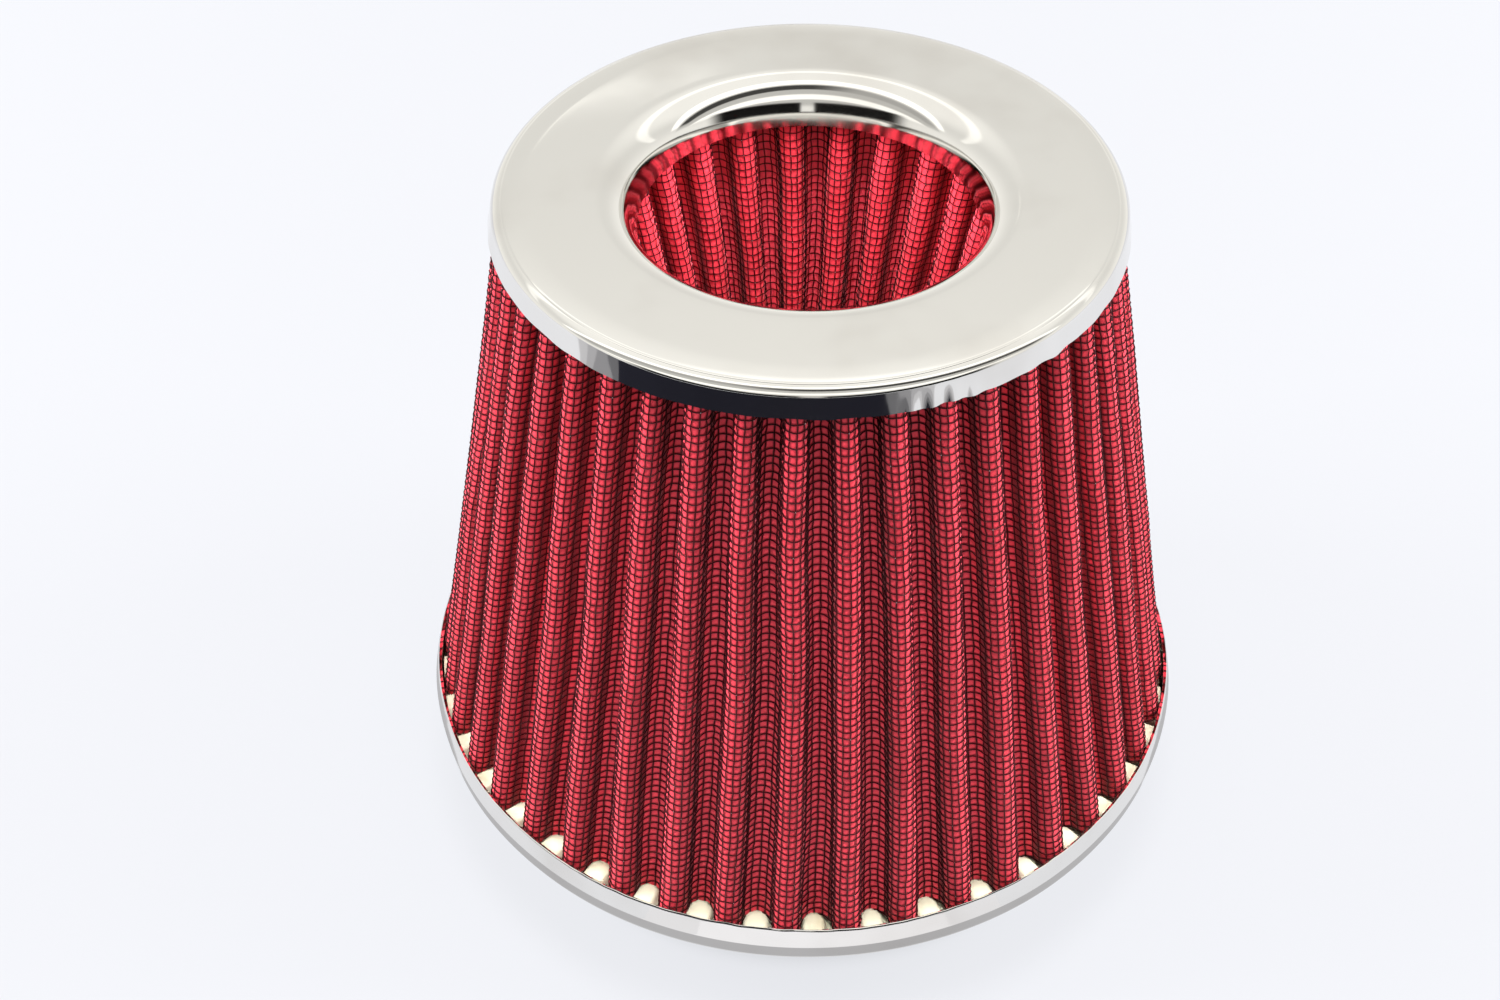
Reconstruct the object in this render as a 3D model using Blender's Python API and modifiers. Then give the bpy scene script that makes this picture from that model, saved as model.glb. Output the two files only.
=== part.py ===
"""Open-top cone air filter for an engine intake, modelled as its separate pieces.

Air comes in through a pleated outer cone and through a second, inverted cone that hangs
from the open throat of the cap. Both cones are red cotton gauze between two coated wire
screens. They are potted in a chrome cap above and a chrome pan below, and a rubber neck
under the pan takes the intake pipe inside a worm-drive clamp.

Metres, +Z up. The origin is the centre of the neck's lower face.
"""

import math

import bmesh
import bpy
from mathutils import Vector

# Overall sizes.
BASE_DIAMETER = 0.1550  # pan, at its crease
HEIGHT = 0.1437  # neck's lower face to the cap's flat top
NECK_DROP = 0.0200  # neck's lower face to the pan's underside

# Fits.
CLEARANCE = 0.0003  # between faces that touch
LAYER_GAP = 0.00025  # between the sheets of a pleated pack
SHEET = 0.0008  # pressed steel of the cap, the pan and the end cup
TURN_STEPS = 60  # round a turned piece

# Cap: throat lip, flat, outer bead and skirt.
THROAT_RADIUS = 0.0300
LIP_RADIUS = 0.0067
LIP_SLOPE_DEG = 24.0  # the lip ends in a short straight cone
LIP_DROP = 0.0081  # cap top to the lip's lower edge
FLAT_WIDTH = 0.0164
BEAD_RADIUS = 0.0014
BEAD_DROP = 0.0022  # cap top to the underside of the bead
SKIRT_STEP = 0.0003  # the skirt stands this far outside the bead
SKIRT_STEP_DROP = 0.0027
SKIRT_DROP = 0.0056  # cap top to the skirt's lower edge
SKIRT_FLARE = 0.0008
CAP_POTTING_DEPTH = 0.0016  # over the outer pack

# Pan: rim, crease and rounded corner.
RIM_HEIGHT = 0.0099  # pan's underside to the rim's top edge
RIM_LEAN = 0.0008  # rim radius below the crease radius
CREASE_HEIGHT = 0.0056
WALL_LEAN = 0.0003  # wall radius at the corner below the crease radius
CORNER_RADIUS = 0.0030
PAN_POTTING_DEPTH = 0.0059
PAN_HOLE_LIP = 0.0030  # pan hole radius outside the neck's outer wall

# Rubber neck.
NECK_BORE = 0.0760
NECK_WALL = 0.0040
NECK_FLANGE = 0.0080  # flanges stand this far outside the neck's outer wall
UPPER_FLANGE_THICKNESS = 0.0025
LOWER_FLANGE_THICKNESS = 0.0025
END_BEAD = 0.0013
END_BEAD_HEIGHT = 0.0022
END_BEAD_SLOPE = 0.0008
NECK_LEAD_IN = 0.0010

# Pleated packs.
SCREEN_THICKNESS = 0.00035
GAUZE_THICKNESS = 0.00060
PLEAT_DEPTH = 0.0058
OUTER_PLEATS = 42
OUTER_FIRST_VALLEY = math.radians(270.5)
OUTER_SIDE_GAP = 0.0005  # ridges to the pan's wall and to the skirt
INNER_PLEATS = 22
INNER_FIRST_VALLEY = math.radians(85.8)
INNER_LENGTH = 0.0686  # the inner pack, top to bottom
INNER_END_RADIUS = 0.0186  # its ridges at the lower end
INNER_TOP_INSET = 0.0009  # how far it goes up past the lip's lower edge
SEAM_WIDTH = 0.0030
SEAM_THICKNESS = 0.0008
SEAM_INSET = 0.0010  # seam strip to the pack's ends
OUTER_SEAM_PLEAT = 20
INNER_SEAM_PLEAT = 2

# End cup of the inner pack.
CUP_POTTING_DEPTH = 0.0022
CUP_WALL_HEIGHT = 0.0035  # above the potting
CUP_CORNER = 0.0015

# Worm-drive clamp.
CLAMP_WIDTH = 0.0110
CLAMP_BAND = 0.0007
CLAMP_ANGLE = math.radians(60.0)
CLAMP_RISE = math.radians(16.0)
CLAMP_START = math.radians(-18.0)
CLAMP_TAIL = math.radians(34.0)
CLAMP_STEPS = 84
HOUSING_LENGTH = 0.0140
HOUSING_SHEET = 0.0009
SCREW_RADIUS = 0.0042
SCREW_LENGTH = 0.0126
SCREW_NECK_RADIUS = 0.0026
SCREW_END_CHAMFER = 0.0006
HEX_ACROSS_FLATS = 0.0070
HEX_LENGTH = 0.0045
HEX_DOME = 0.0004
DRIVER_SLOT_WIDTH = 0.0012
DRIVER_SLOT_DEPTH = 0.0016
SCREW_SIDES = 24

# Worked out from the sizes above.
PAN_BOTTOM = NECK_DROP
PAN_FLOOR = PAN_BOTTOM + SHEET
RIM_TOP = PAN_BOTTOM + RIM_HEIGHT
CREASE_RADIUS = BASE_DIAMETER / 2
PAN_POTTING_TOP = PAN_FLOOR + CLEARANCE + PAN_POTTING_DEPTH
LIP_BOTTOM = HEIGHT - LIP_DROP
LIP_LEAN = math.tan(math.radians(LIP_SLOPE_DEG))
LIP_CENTRE_RADIUS = (
    THROAT_RADIUS
    + (LIP_DROP - LIP_RADIUS) * LIP_LEAN
    + LIP_RADIUS / math.cos(math.radians(LIP_SLOPE_DEG))
)
FLAT_RADIUS = LIP_CENTRE_RADIUS + FLAT_WIDTH
BEAD_OUTER = FLAT_RADIUS + BEAD_RADIUS
CAP_UNDERSIDE = HEIGHT - SHEET
CAP_POTTING_TOP = CAP_UNDERSIDE - CLEARANCE
NECK_RADIUS = NECK_BORE / 2 + NECK_WALL
FLANGE_RADIUS = NECK_RADIUS + NECK_FLANGE
PAN_HOLE_RADIUS = NECK_RADIUS + PAN_HOLE_LIP
FLANGE_UNDERSIDE = PAN_BOTTOM - CLEARANCE - LOWER_FLANGE_THICKNESS
PACK_THICKNESS = 2 * SCREEN_THICKNESS + GAUZE_THICKNESS + 2 * LAYER_GAP

OUTER_LOW = PAN_POTTING_TOP + CLEARANCE
OUTER_HIGH = CAP_POTTING_TOP - CAP_POTTING_DEPTH - CLEARANCE
RIM_SHARE_AT_PACK = (OUTER_LOW - PAN_BOTTOM - CREASE_HEIGHT) / (RIM_HEIGHT - CREASE_HEIGHT)
OUTER_RIDGE_LOW = CREASE_RADIUS - RIM_LEAN * RIM_SHARE_AT_PACK - SHEET - OUTER_SIDE_GAP
OUTER_RIDGE_AT_SKIRT = BEAD_OUTER + SKIRT_STEP - SHEET - OUTER_SIDE_GAP
SKIRT_STEP_HEIGHT = HEIGHT - SKIRT_STEP_DROP

INNER_HIGH = LIP_BOTTOM + INNER_TOP_INSET
INNER_LOW = INNER_HIGH - INNER_LENGTH
INNER_TOP_RADIUS = (
    THROAT_RADIUS
    + INNER_TOP_INSET * LIP_LEAN
    + SHEET / math.cos(math.radians(LIP_SLOPE_DEG))
    + 2 * CLEARANCE
)

CUP_FLOOR = INNER_LOW - 2 * CLEARANCE - CUP_POTTING_DEPTH
CUP_BOTTOM = CUP_FLOOR - SHEET
CUP_RIM = INNER_LOW + CUP_WALL_HEIGHT

CLAMP_HEIGHT = (END_BEAD_HEIGHT + END_BEAD_SLOPE + FLANGE_UNDERSIDE) / 2
BAND_RADIUS = NECK_RADIUS + CLEARANCE + CLAMP_BAND / 2
TAIL_RADIUS = BAND_RADIUS + CLAMP_BAND + CLEARANCE
SCREW_DISTANCE = TAIL_RADIUS + CLAMP_BAND / 2 + CLEARANCE + SCREW_RADIUS

# Share of a pleat taken by its crown and by its floor, at the pack's two ends.
OUTER_CROWN = 0.42
OUTER_FLOOR = 0.28
INNER_CROWN_HIGH = 0.52
INNER_FLOOR_HIGH = 0.32
INNER_CROWN_LOW = 0.72
INNER_FLOOR_LOW = 0.16

# Finish: base colour, roughness, metallic.
FINISHES = {
    "chrome": ((0.82, 0.82, 0.80), 0.06, 1.0),
    "zinc_steel": ((0.62, 0.63, 0.64), 0.28, 1.0),
    "coated_wire": ((0.025, 0.022, 0.026), 0.35, 0.0),
    "red_gauze": ((0.62, 0.035, 0.06), 0.80, 0.0),
    "cream_potting": ((0.74, 0.66, 0.46), 0.55, 0.0),
    "black_rubber": ((0.02, 0.02, 0.021), 0.60, 0.0),
    "aluminium": ((0.75, 0.75, 0.76), 0.35, 1.0),
}


def clear_scene():
    """Remove whatever the open scene holds."""
    for item in list(bpy.data.objects):
        bpy.data.objects.remove(item, do_unlink=True)


def make_collection(name):
    """A new collection in the scene."""
    collection = bpy.data.collections.new(name)
    bpy.context.scene.collection.children.link(collection)
    return collection


def finish(name):
    """The Principled material of one finish, made once."""
    if name in bpy.data.materials:
        return bpy.data.materials[name]
    colour, roughness, metallic = FINISHES[name]
    material = bpy.data.materials.new(name)
    material.use_nodes = True
    shader = material.node_tree.nodes["Principled BSDF"]
    shader.inputs["Base Color"].default_value = (*colour, 1.0)
    shader.inputs["Roughness"].default_value = roughness
    shader.inputs["Metallic"].default_value = metallic
    return material


def add_object(name, mesh, material, collection, parent=None):
    """Link a mesh as a named object with its material."""
    item = bpy.data.objects.new(name, mesh)
    collection.objects.link(item)
    mesh.materials.append(finish(material))
    item.parent = parent
    return item


def arc(centre, radius, start_deg, end_deg, steps):
    """Points of an arc in a profile plane, both ends included."""
    points = []
    for step in range(steps + 1):
        angle = math.radians(start_deg + (end_deg - start_deg) * step / steps)
        points.append((centre[0] + radius * math.cos(angle), centre[1] + radius * math.sin(angle)))
    return points


def left_normal(start, end):
    """Unit normal on the left of a 2D segment."""
    across = Vector((start[1] - end[1], end[0] - start[0]))
    return across.normalized()


def offset_path(path, distance, closed):
    """A 2D path moved to its left by a distance, with mitred corners."""
    count = len(path)
    moved = []
    for index, point in enumerate(path):
        before = left_normal(path[index - 1], point) if closed or index else None
        after = left_normal(point, path[(index + 1) % count]) if closed or index < count - 1 else None
        if before is None:
            shift = after
        elif after is None:
            shift = before
        else:
            shift = (before + after) / (1.0 + before.dot(after))
        moved.append((point[0] + shift.x * distance, point[1] + shift.y * distance))
    return moved


def sheet_outline(path, thickness):
    """Closed outline of a sheet whose outer face follows a path and whose metal is on its right."""
    return path + list(reversed(offset_path(path, -thickness, closed=False)))


def turned(name, outline, material, collection, parent=None, steps=TURN_STEPS, closed=True):
    """A piece turned about Z from an outline (radius, height) that runs down its outer side."""
    count = len(outline)
    edges = [(index, index + 1) for index in range(count - 1)]
    if closed:
        edges.append((count - 1, 0))
    mesh = bpy.data.meshes.new(name)
    mesh.from_pydata([(radius, 0.0, height) for radius, height in outline], edges, [])
    item = add_object(name, mesh, material, collection, parent)
    screw = item.modifiers.new("turn", "SCREW")
    screw.axis = "Z"
    screw.angle = math.tau
    screw.steps = steps
    screw.render_steps = steps
    screw.use_merge_vertices = True
    screw.merge_threshold = 0.00001
    screw.use_smooth_shade = True
    return item


def loft(name, sections, material, collection, parent=None, closed=False, smooth_deg=0.0):
    """A solid through a row of sections with the same number of points, capped or joined end to end.

    The two halves of a section are split along mirrored diagonals, so that a twisted sheet
    keeps its thickness and lies evenly against the next one.
    """
    shape = bmesh.new()
    rings = [[shape.verts.new(point) for point in section] for section in sections]
    sides = len(rings[0])
    pairs = list(zip(rings, rings[1:]))
    if closed:
        pairs.append((rings[-1], rings[0]))
    else:
        shape.faces.new(list(reversed(rings[0])))
        shape.faces.new(rings[-1])
    for ring, following in pairs:
        for side in range(sides):
            other = (side + 1) % sides
            corners = [ring[side], ring[other], following[other], following[side]]
            if side >= sides / 2:
                corners = corners[1:] + corners[:1]
            shape.faces.new(corners[:3])
            shape.faces.new(corners[2:] + corners[:1])
    bmesh.ops.recalc_face_normals(shape, faces=shape.faces)
    mesh = bpy.data.meshes.new(name)
    shape.to_mesh(mesh)
    shape.free()
    if smooth_deg:
        mesh.shade_smooth()
        mesh.set_sharp_from_angle(angle=math.radians(smooth_deg))
    return add_object(name, mesh, material, collection, parent)


def pleat_outline(count, first_valley, ridge, valley, crown, floor):
    """Closed plan outline of a pleated face: for each pleat its floor, then its crown."""
    pitch = math.tau / count
    points = []
    for index in range(count):
        middle = first_valley + index * pitch
        for radius, angle in (
            (valley, middle - floor * pitch / 2),
            (valley, middle + floor * pitch / 2),
            (ridge, middle + pitch / 2 - crown * pitch / 2),
            (ridge, middle + pitch / 2 + crown * pitch / 2),
        ):
            points.append((radius * math.cos(angle), radius * math.sin(angle)))
    return points


def outer_ridge(height):
    """Radius of the outer pack's ridges at a height."""
    share = (height - OUTER_LOW) / (SKIRT_STEP_HEIGHT - OUTER_LOW)
    return OUTER_RIDGE_LOW + (OUTER_RIDGE_AT_SKIRT - OUTER_RIDGE_LOW) * share


def inner_ridge(height):
    """Radius of the inner pack's ridges at a height."""
    share = (height - INNER_LOW) / INNER_LENGTH
    return INNER_END_RADIUS + (INNER_TOP_RADIUS - INNER_END_RADIUS) * share


def outer_outline(height):
    """Plan outline of the outer pack's open face at a height."""
    ridge = outer_ridge(height)
    return pleat_outline(
        OUTER_PLEATS, OUTER_FIRST_VALLEY, ridge, ridge - PLEAT_DEPTH, OUTER_CROWN, OUTER_FLOOR
    )


def inner_outline(height):
    """Plan outline of the inner pack's throat face at a height."""
    share = (height - INNER_LOW) / INNER_LENGTH
    crown = INNER_CROWN_LOW + (INNER_CROWN_HIGH - INNER_CROWN_LOW) * share
    floor = INNER_FLOOR_LOW + (INNER_FLOOR_HIGH - INNER_FLOOR_LOW) * share
    ridge = inner_ridge(height)
    return pleat_outline(INNER_PLEATS, INNER_FIRST_VALLEY, ridge, ridge + PLEAT_DEPTH, crown, floor)


def pleated_layer(name, outline_at, low, high, start, thickness, side, material, collection):
    """One sheet of a pleated pack, from start to start + thickness behind the pack's open face.

    side is +1 where the pack lies inside its open face and -1 where it lies outside it.
    """
    edges = []
    for height in (low, high):
        for depth in (start, start + thickness):
            plan = offset_path(outline_at(height), side * depth, closed=True)
            edges.append([(x, y, height) for x, y in plan])
    low_open, low_back, high_open, high_back = edges
    sections = list(zip(low_open, high_open, high_back, low_back))
    return loft(name, sections, material, collection, closed=True)


def pleated_pack(names, outline_at, low, high, side, collection):
    """Screen, gauze and back screen, one behind the other."""
    start = 0.0
    for name, thickness, material in zip(
        names,
        (SCREEN_THICKNESS, GAUZE_THICKNESS, SCREEN_THICKNESS),
        ("coated_wire", "red_gauze", "coated_wire"),
    ):
        pleated_layer(name, outline_at, low, high, start, thickness, side, material, collection)
        start += thickness + LAYER_GAP


def seam_strip(name, radius_at, angle, low, high, side, collection):
    """Flat strip that closes a pleated pack, along the back of one valley fold."""
    along = Vector((-math.sin(angle), math.cos(angle), 0.0)) * SEAM_WIDTH / 2
    out = Vector((math.cos(angle), math.sin(angle), 0.0))
    sections = []
    for height in (low, high):
        near = out * radius_at(height) + Vector((0.0, 0.0, height))
        far = near - out * side * SEAM_THICKNESS
        sections.append([near - along, near + along, far + along, far - along])
    return loft(name, sections, "aluminium", collection)


def make_cap(collection):
    """Chrome cap pressed from one sheet: throat lip, flat, outer bead and skirt."""
    path = [(THROAT_RADIUS, LIP_BOTTOM)]
    path += arc((LIP_CENTRE_RADIUS, HEIGHT - LIP_RADIUS), LIP_RADIUS, 180 - LIP_SLOPE_DEG, 90, 5)
    path += arc((FLAT_RADIUS, HEIGHT - BEAD_RADIUS), BEAD_RADIUS, 90, 0, 3)
    path.append((BEAD_OUTER, HEIGHT - BEAD_DROP))
    path.append((BEAD_OUTER + SKIRT_STEP, SKIRT_STEP_HEIGHT))
    path.append((BEAD_OUTER + SKIRT_STEP + SKIRT_FLARE, HEIGHT - SKIRT_DROP))
    turned("top_cap", sheet_outline(path, SHEET), "chrome", collection)


def make_cap_potting(collection):
    """Potting ring under the cap, deep over the inner pack and shallow over the outer one."""
    inner_back = inner_ridge(INNER_HIGH) + PLEAT_DEPTH + PACK_THICKNESS
    outer_back = outer_ridge(OUTER_HIGH) - PLEAT_DEPTH - PACK_THICKNESS
    step_radius = (inner_back + outer_back) / 2
    centre = (LIP_CENTRE_RADIUS, HEIGHT - LIP_RADIUS)
    fill = LIP_RADIUS - SHEET - CLEARANCE
    low = INNER_HIGH + CLEARANCE
    slope = math.radians(LIP_SLOPE_DEG)
    lip_back = THROAT_RADIUS + (low - LIP_BOTTOM) * LIP_LEAN + (SHEET + CLEARANCE) / math.cos(slope)
    outer_radius = FLAT_RADIUS - CLEARANCE
    outline = [
        (outer_radius, CAP_POTTING_TOP),
        (outer_radius, OUTER_HIGH + CLEARANCE),
        (step_radius, OUTER_HIGH + CLEARANCE),
        (step_radius, low),
        (lip_back, low),
    ]
    outline += arc(centre, fill, 180 - LIP_SLOPE_DEG, 90, 4)
    turned("cap_potting", outline, "cream_potting", collection)


def make_pan(collection):
    """Chrome pan pressed from one sheet: rim, crease, rounded corner and floor with the neck's hole."""
    corner = CREASE_RADIUS - WALL_LEAN
    path = [
        (CREASE_RADIUS - RIM_LEAN, RIM_TOP),
        (CREASE_RADIUS, PAN_BOTTOM + CREASE_HEIGHT),
    ]
    path += arc((corner - CORNER_RADIUS, PAN_BOTTOM + CORNER_RADIUS), CORNER_RADIUS, 0, -90, 3)
    path.append((PAN_HOLE_RADIUS, PAN_BOTTOM))
    turned("base_pan", sheet_outline(path, SHEET), "chrome", collection)


def make_pan_potting(collection):
    """Potting ring in the pan, under the outer pack."""
    outer_radius = CREASE_RADIUS - RIM_LEAN - SHEET
    corner = CREASE_RADIUS - WALL_LEAN - CORNER_RADIUS
    inner_radius = FLANGE_RADIUS + 2 * CLEARANCE
    low = PAN_FLOOR + CLEARANCE
    outline = [
        (outer_radius, PAN_POTTING_TOP),
        (outer_radius, PAN_BOTTOM + CORNER_RADIUS + SHEET),
        (corner, low),
        (inner_radius, low),
        (inner_radius, PAN_POTTING_TOP),
    ]
    turned("pan_potting", outline, "cream_potting", collection)


def make_neck(collection):
    """Rubber neck: bore for the pipe, groove that grips the pan's hole, clamp land and end bead."""
    bore = NECK_BORE / 2
    top = PAN_FLOOR + CLEARANCE + UPPER_FLANGE_THICKNESS
    groove = PAN_HOLE_RADIUS - CLEARANCE
    bead = NECK_RADIUS + END_BEAD
    outline = [
        (FLANGE_RADIUS, top),
        (FLANGE_RADIUS, PAN_FLOOR + CLEARANCE),
        (groove, PAN_FLOOR + CLEARANCE),
        (groove, PAN_BOTTOM - CLEARANCE),
        (FLANGE_RADIUS, PAN_BOTTOM - CLEARANCE),
        (FLANGE_RADIUS, FLANGE_UNDERSIDE),
        (NECK_RADIUS, FLANGE_UNDERSIDE),
        (NECK_RADIUS, END_BEAD_HEIGHT + END_BEAD_SLOPE),
        (bead, END_BEAD_HEIGHT),
        (bead, END_BEAD_SLOPE),
        (bead - END_BEAD_SLOPE, 0.0),
        (bore + NECK_LEAD_IN, 0.0),
        (bore, NECK_LEAD_IN),
        (bore, top),
    ]
    turned("neck", outline, "black_rubber", collection)


def make_outer_pack(collection):
    """Outer cone: screen, gauze and back screen, and the strip that closes them."""
    names = ("outer_screen", "outer_gauze", "outer_back_screen")
    pleated_pack(names, outer_outline, OUTER_LOW, OUTER_HIGH, 1, collection)
    reach = PLEAT_DEPTH + PACK_THICKNESS + CLEARANCE
    angle = OUTER_FIRST_VALLEY + OUTER_SEAM_PLEAT * math.tau / OUTER_PLEATS
    seam_strip(
        "outer_seam_strip",
        lambda height: outer_ridge(height) - reach,
        angle,
        OUTER_LOW + SEAM_INSET,
        OUTER_HIGH - SEAM_INSET,
        1,
        collection,
    )


def make_inner_pack(collection):
    """Inverted inner cone: screen, gauze and back screen, and the strip that closes them."""
    names = ("inner_screen", "inner_gauze", "inner_back_screen")
    pleated_pack(names, inner_outline, INNER_LOW, INNER_HIGH, -1, collection)
    reach = PLEAT_DEPTH + PACK_THICKNESS + CLEARANCE
    angle = INNER_FIRST_VALLEY + INNER_SEAM_PLEAT * math.tau / INNER_PLEATS
    seam_strip(
        "inner_seam_strip",
        lambda height: inner_ridge(height) + reach,
        angle,
        CUP_RIM + SEAM_INSET,
        INNER_HIGH - SEAM_INSET,
        -1,
        collection,
    )


def make_end_cup(collection):
    """Steel cup that closes the inner cone's lower end, and its disc of potting."""
    reach = PLEAT_DEPTH + PACK_THICKNESS + 2 * CLEARANCE + SHEET
    rim = inner_ridge(CUP_RIM) + reach
    wall = inner_ridge(INNER_LOW) + reach
    path = [(rim, CUP_RIM), (wall, INNER_LOW)]
    path += arc((wall - CUP_CORNER, CUP_BOTTOM + CUP_CORNER), CUP_CORNER, 0, -90, 3)
    path.append((0.0, CUP_BOTTOM))
    inside = list(reversed(offset_path(path, -SHEET, closed=False)))
    turned("end_cup", inside + path, "chrome", collection, closed=False)
    disc = wall - SHEET - CLEARANCE - CUP_CORNER / 2
    low = CUP_FLOOR + CLEARANCE
    high = low + CUP_POTTING_DEPTH
    outline = [(0.0, high), (disc, high), (disc, low), (0.0, low)]
    turned("cup_potting", outline, "cream_potting", collection, closed=False)


def band_radius_at(angle):
    """Middle radius of the clamp's band at an angle from its hidden end, which its tail climbs over."""
    climb = (angle - (math.tau - CLAMP_RISE)) / CLAMP_RISE
    share = min(max(climb, 0.0), 1.0)
    ease = share * share * (3.0 - 2.0 * share)
    return BAND_RADIUS + (TAIL_RADIUS - BAND_RADIUS) * ease


def make_clamp_band(collection, pivot):
    """Clamp band: one strip round the neck whose tail lies over its own start."""
    sweep = math.tau + CLAMP_TAIL
    sections = []
    for step in range(CLAMP_STEPS + 1):
        turn = sweep * step / CLAMP_STEPS
        middle = band_radius_at(turn)
        out = Vector((math.cos(CLAMP_START + turn), math.sin(CLAMP_START + turn), 0.0))
        up = Vector((0.0, 0.0, CLAMP_WIDTH / 2))
        near = out * (middle - CLAMP_BAND / 2)
        far = out * (middle + CLAMP_BAND / 2)
        sections.append([near - up, far - up, far + up, near + up])
    return loft("clamp_band", sections, "zinc_steel", collection, pivot, smooth_deg=40)


def make_clamp_housing(collection, pivot):
    """Arched housing over the band and the screw."""
    half = CLAMP_WIDTH / 2 + CLEARANCE
    arch = SCREW_RADIUS + 2 * CLEARANCE
    foot = BAND_RADIUS
    shoulder = TAIL_RADIUS + CLAMP_BAND / 2 + CLEARANCE
    inside = [(half, foot), (half, shoulder)]
    inside += arc((0.0, SCREW_DISTANCE), arch, 0, 180, 10)
    inside += [(-half, shoulder), (-half, foot)]
    outline = inside + list(reversed(offset_path(inside, -HOUSING_SHEET, closed=False)))
    sections = [
        [(radius, along, across) for across, radius in outline]
        for along in (-HOUSING_LENGTH / 2, HOUSING_LENGTH / 2)
    ]
    return loft("clamp_housing", sections, "zinc_steel", collection, pivot, smooth_deg=40)


def round_section(along, radius):
    """A circle of the screw, square to its length."""
    points = []
    for side in range(SCREW_SIDES):
        angle = math.tau * side / SCREW_SIDES
        points.append((radius * math.cos(angle), along, radius * math.sin(angle)))
    return points


def hex_section(along, across_flats):
    """A hexagon of the screw's head with as many points as its circles."""
    points = []
    for side in range(SCREW_SIDES):
        angle = math.tau * side / SCREW_SIDES
        from_flat = (angle + math.pi / 6) % (math.pi / 3) - math.pi / 6
        radius = across_flats / 2 / math.cos(from_flat)
        points.append((radius * math.cos(angle), along, radius * math.sin(angle)))
    return points


def make_clamp_screw(collection, cutters, pivot):
    """Worm screw with a slotted hexagon head; its origin lies on its own axis."""
    end = SCREW_LENGTH / 2
    head = HOUSING_LENGTH / 2 + CLEARANCE
    tip = head + HEX_LENGTH
    sections = [
        round_section(-end, SCREW_RADIUS - SCREW_END_CHAMFER),
        round_section(-end + SCREW_END_CHAMFER, SCREW_RADIUS),
        round_section(end - SCREW_END_CHAMFER, SCREW_RADIUS),
        round_section(end, SCREW_NECK_RADIUS),
        round_section(head, SCREW_NECK_RADIUS),
        hex_section(head + SCREW_END_CHAMFER / 2, HEX_ACROSS_FLATS),
        hex_section(tip - HEX_DOME, HEX_ACROSS_FLATS),
        round_section(tip, HEX_ACROSS_FLATS / 2 - HEX_DOME),
    ]
    screw = loft("clamp_screw", sections, "zinc_steel", collection, pivot, smooth_deg=25)
    screw.location = (SCREW_DISTANCE, 0.0, 0.0)
    bpy.ops.mesh.primitive_cube_add(size=1.0)
    cutter = bpy.context.object
    cutter.name = "driver_slot_cutter"
    for holder in list(cutter.users_collection):
        holder.objects.unlink(cutter)
    cutters.objects.link(cutter)
    cutter.parent = pivot
    cutter.location = (SCREW_DISTANCE, tip, 0.0)
    cutter.scale = (DRIVER_SLOT_WIDTH, 2 * DRIVER_SLOT_DEPTH, 2 * HEX_ACROSS_FLATS)
    cutter.hide_render = True
    cutter.display_type = "WIRE"
    cut = screw.modifiers.new("driver_slot", "BOOLEAN")
    cut.operation = "DIFFERENCE"
    cut.solver = "EXACT"
    cut.object = cutter
    return screw


def make_clamp(collection, cutters):
    """Worm-drive clamp on an empty that stands on the neck's axis."""
    pivot = bpy.data.objects.new("clamp_pivot", None)
    collection.objects.link(pivot)
    pivot.location = (0.0, 0.0, CLAMP_HEIGHT)
    pivot.rotation_euler = (0.0, 0.0, CLAMP_ANGLE)
    make_clamp_band(collection, pivot)
    make_clamp_housing(collection, pivot)
    make_clamp_screw(collection, cutters, pivot)


def main():
    """Build every piece of the filter."""
    clear_scene()
    collection = make_collection("cone_air_filter")
    cutters = make_collection("cutters")
    make_cap(collection)
    make_cap_potting(collection)
    make_outer_pack(collection)
    make_inner_pack(collection)
    make_end_cup(collection)
    make_pan(collection)
    make_pan_potting(collection)
    make_neck(collection)
    make_clamp(collection, cutters)


main()
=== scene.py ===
"""The looks of an open-top cone air filter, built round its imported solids.

The fine surface replaces the plain solids: wire screens with red gauze bulging through their
cells, a pressed chrome cap and pan, cream potting between the pleats, and the rubber neck with
its worm-drive clamp underneath. Everything is in metres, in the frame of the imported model.
"""
import logging
import math
from dataclasses import dataclass
from enum import Enum
from functools import cache
from typing import Callable, Optional, Union

import bpy
import numpy as np
from mathutils import Euler, Matrix, Vector


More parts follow.
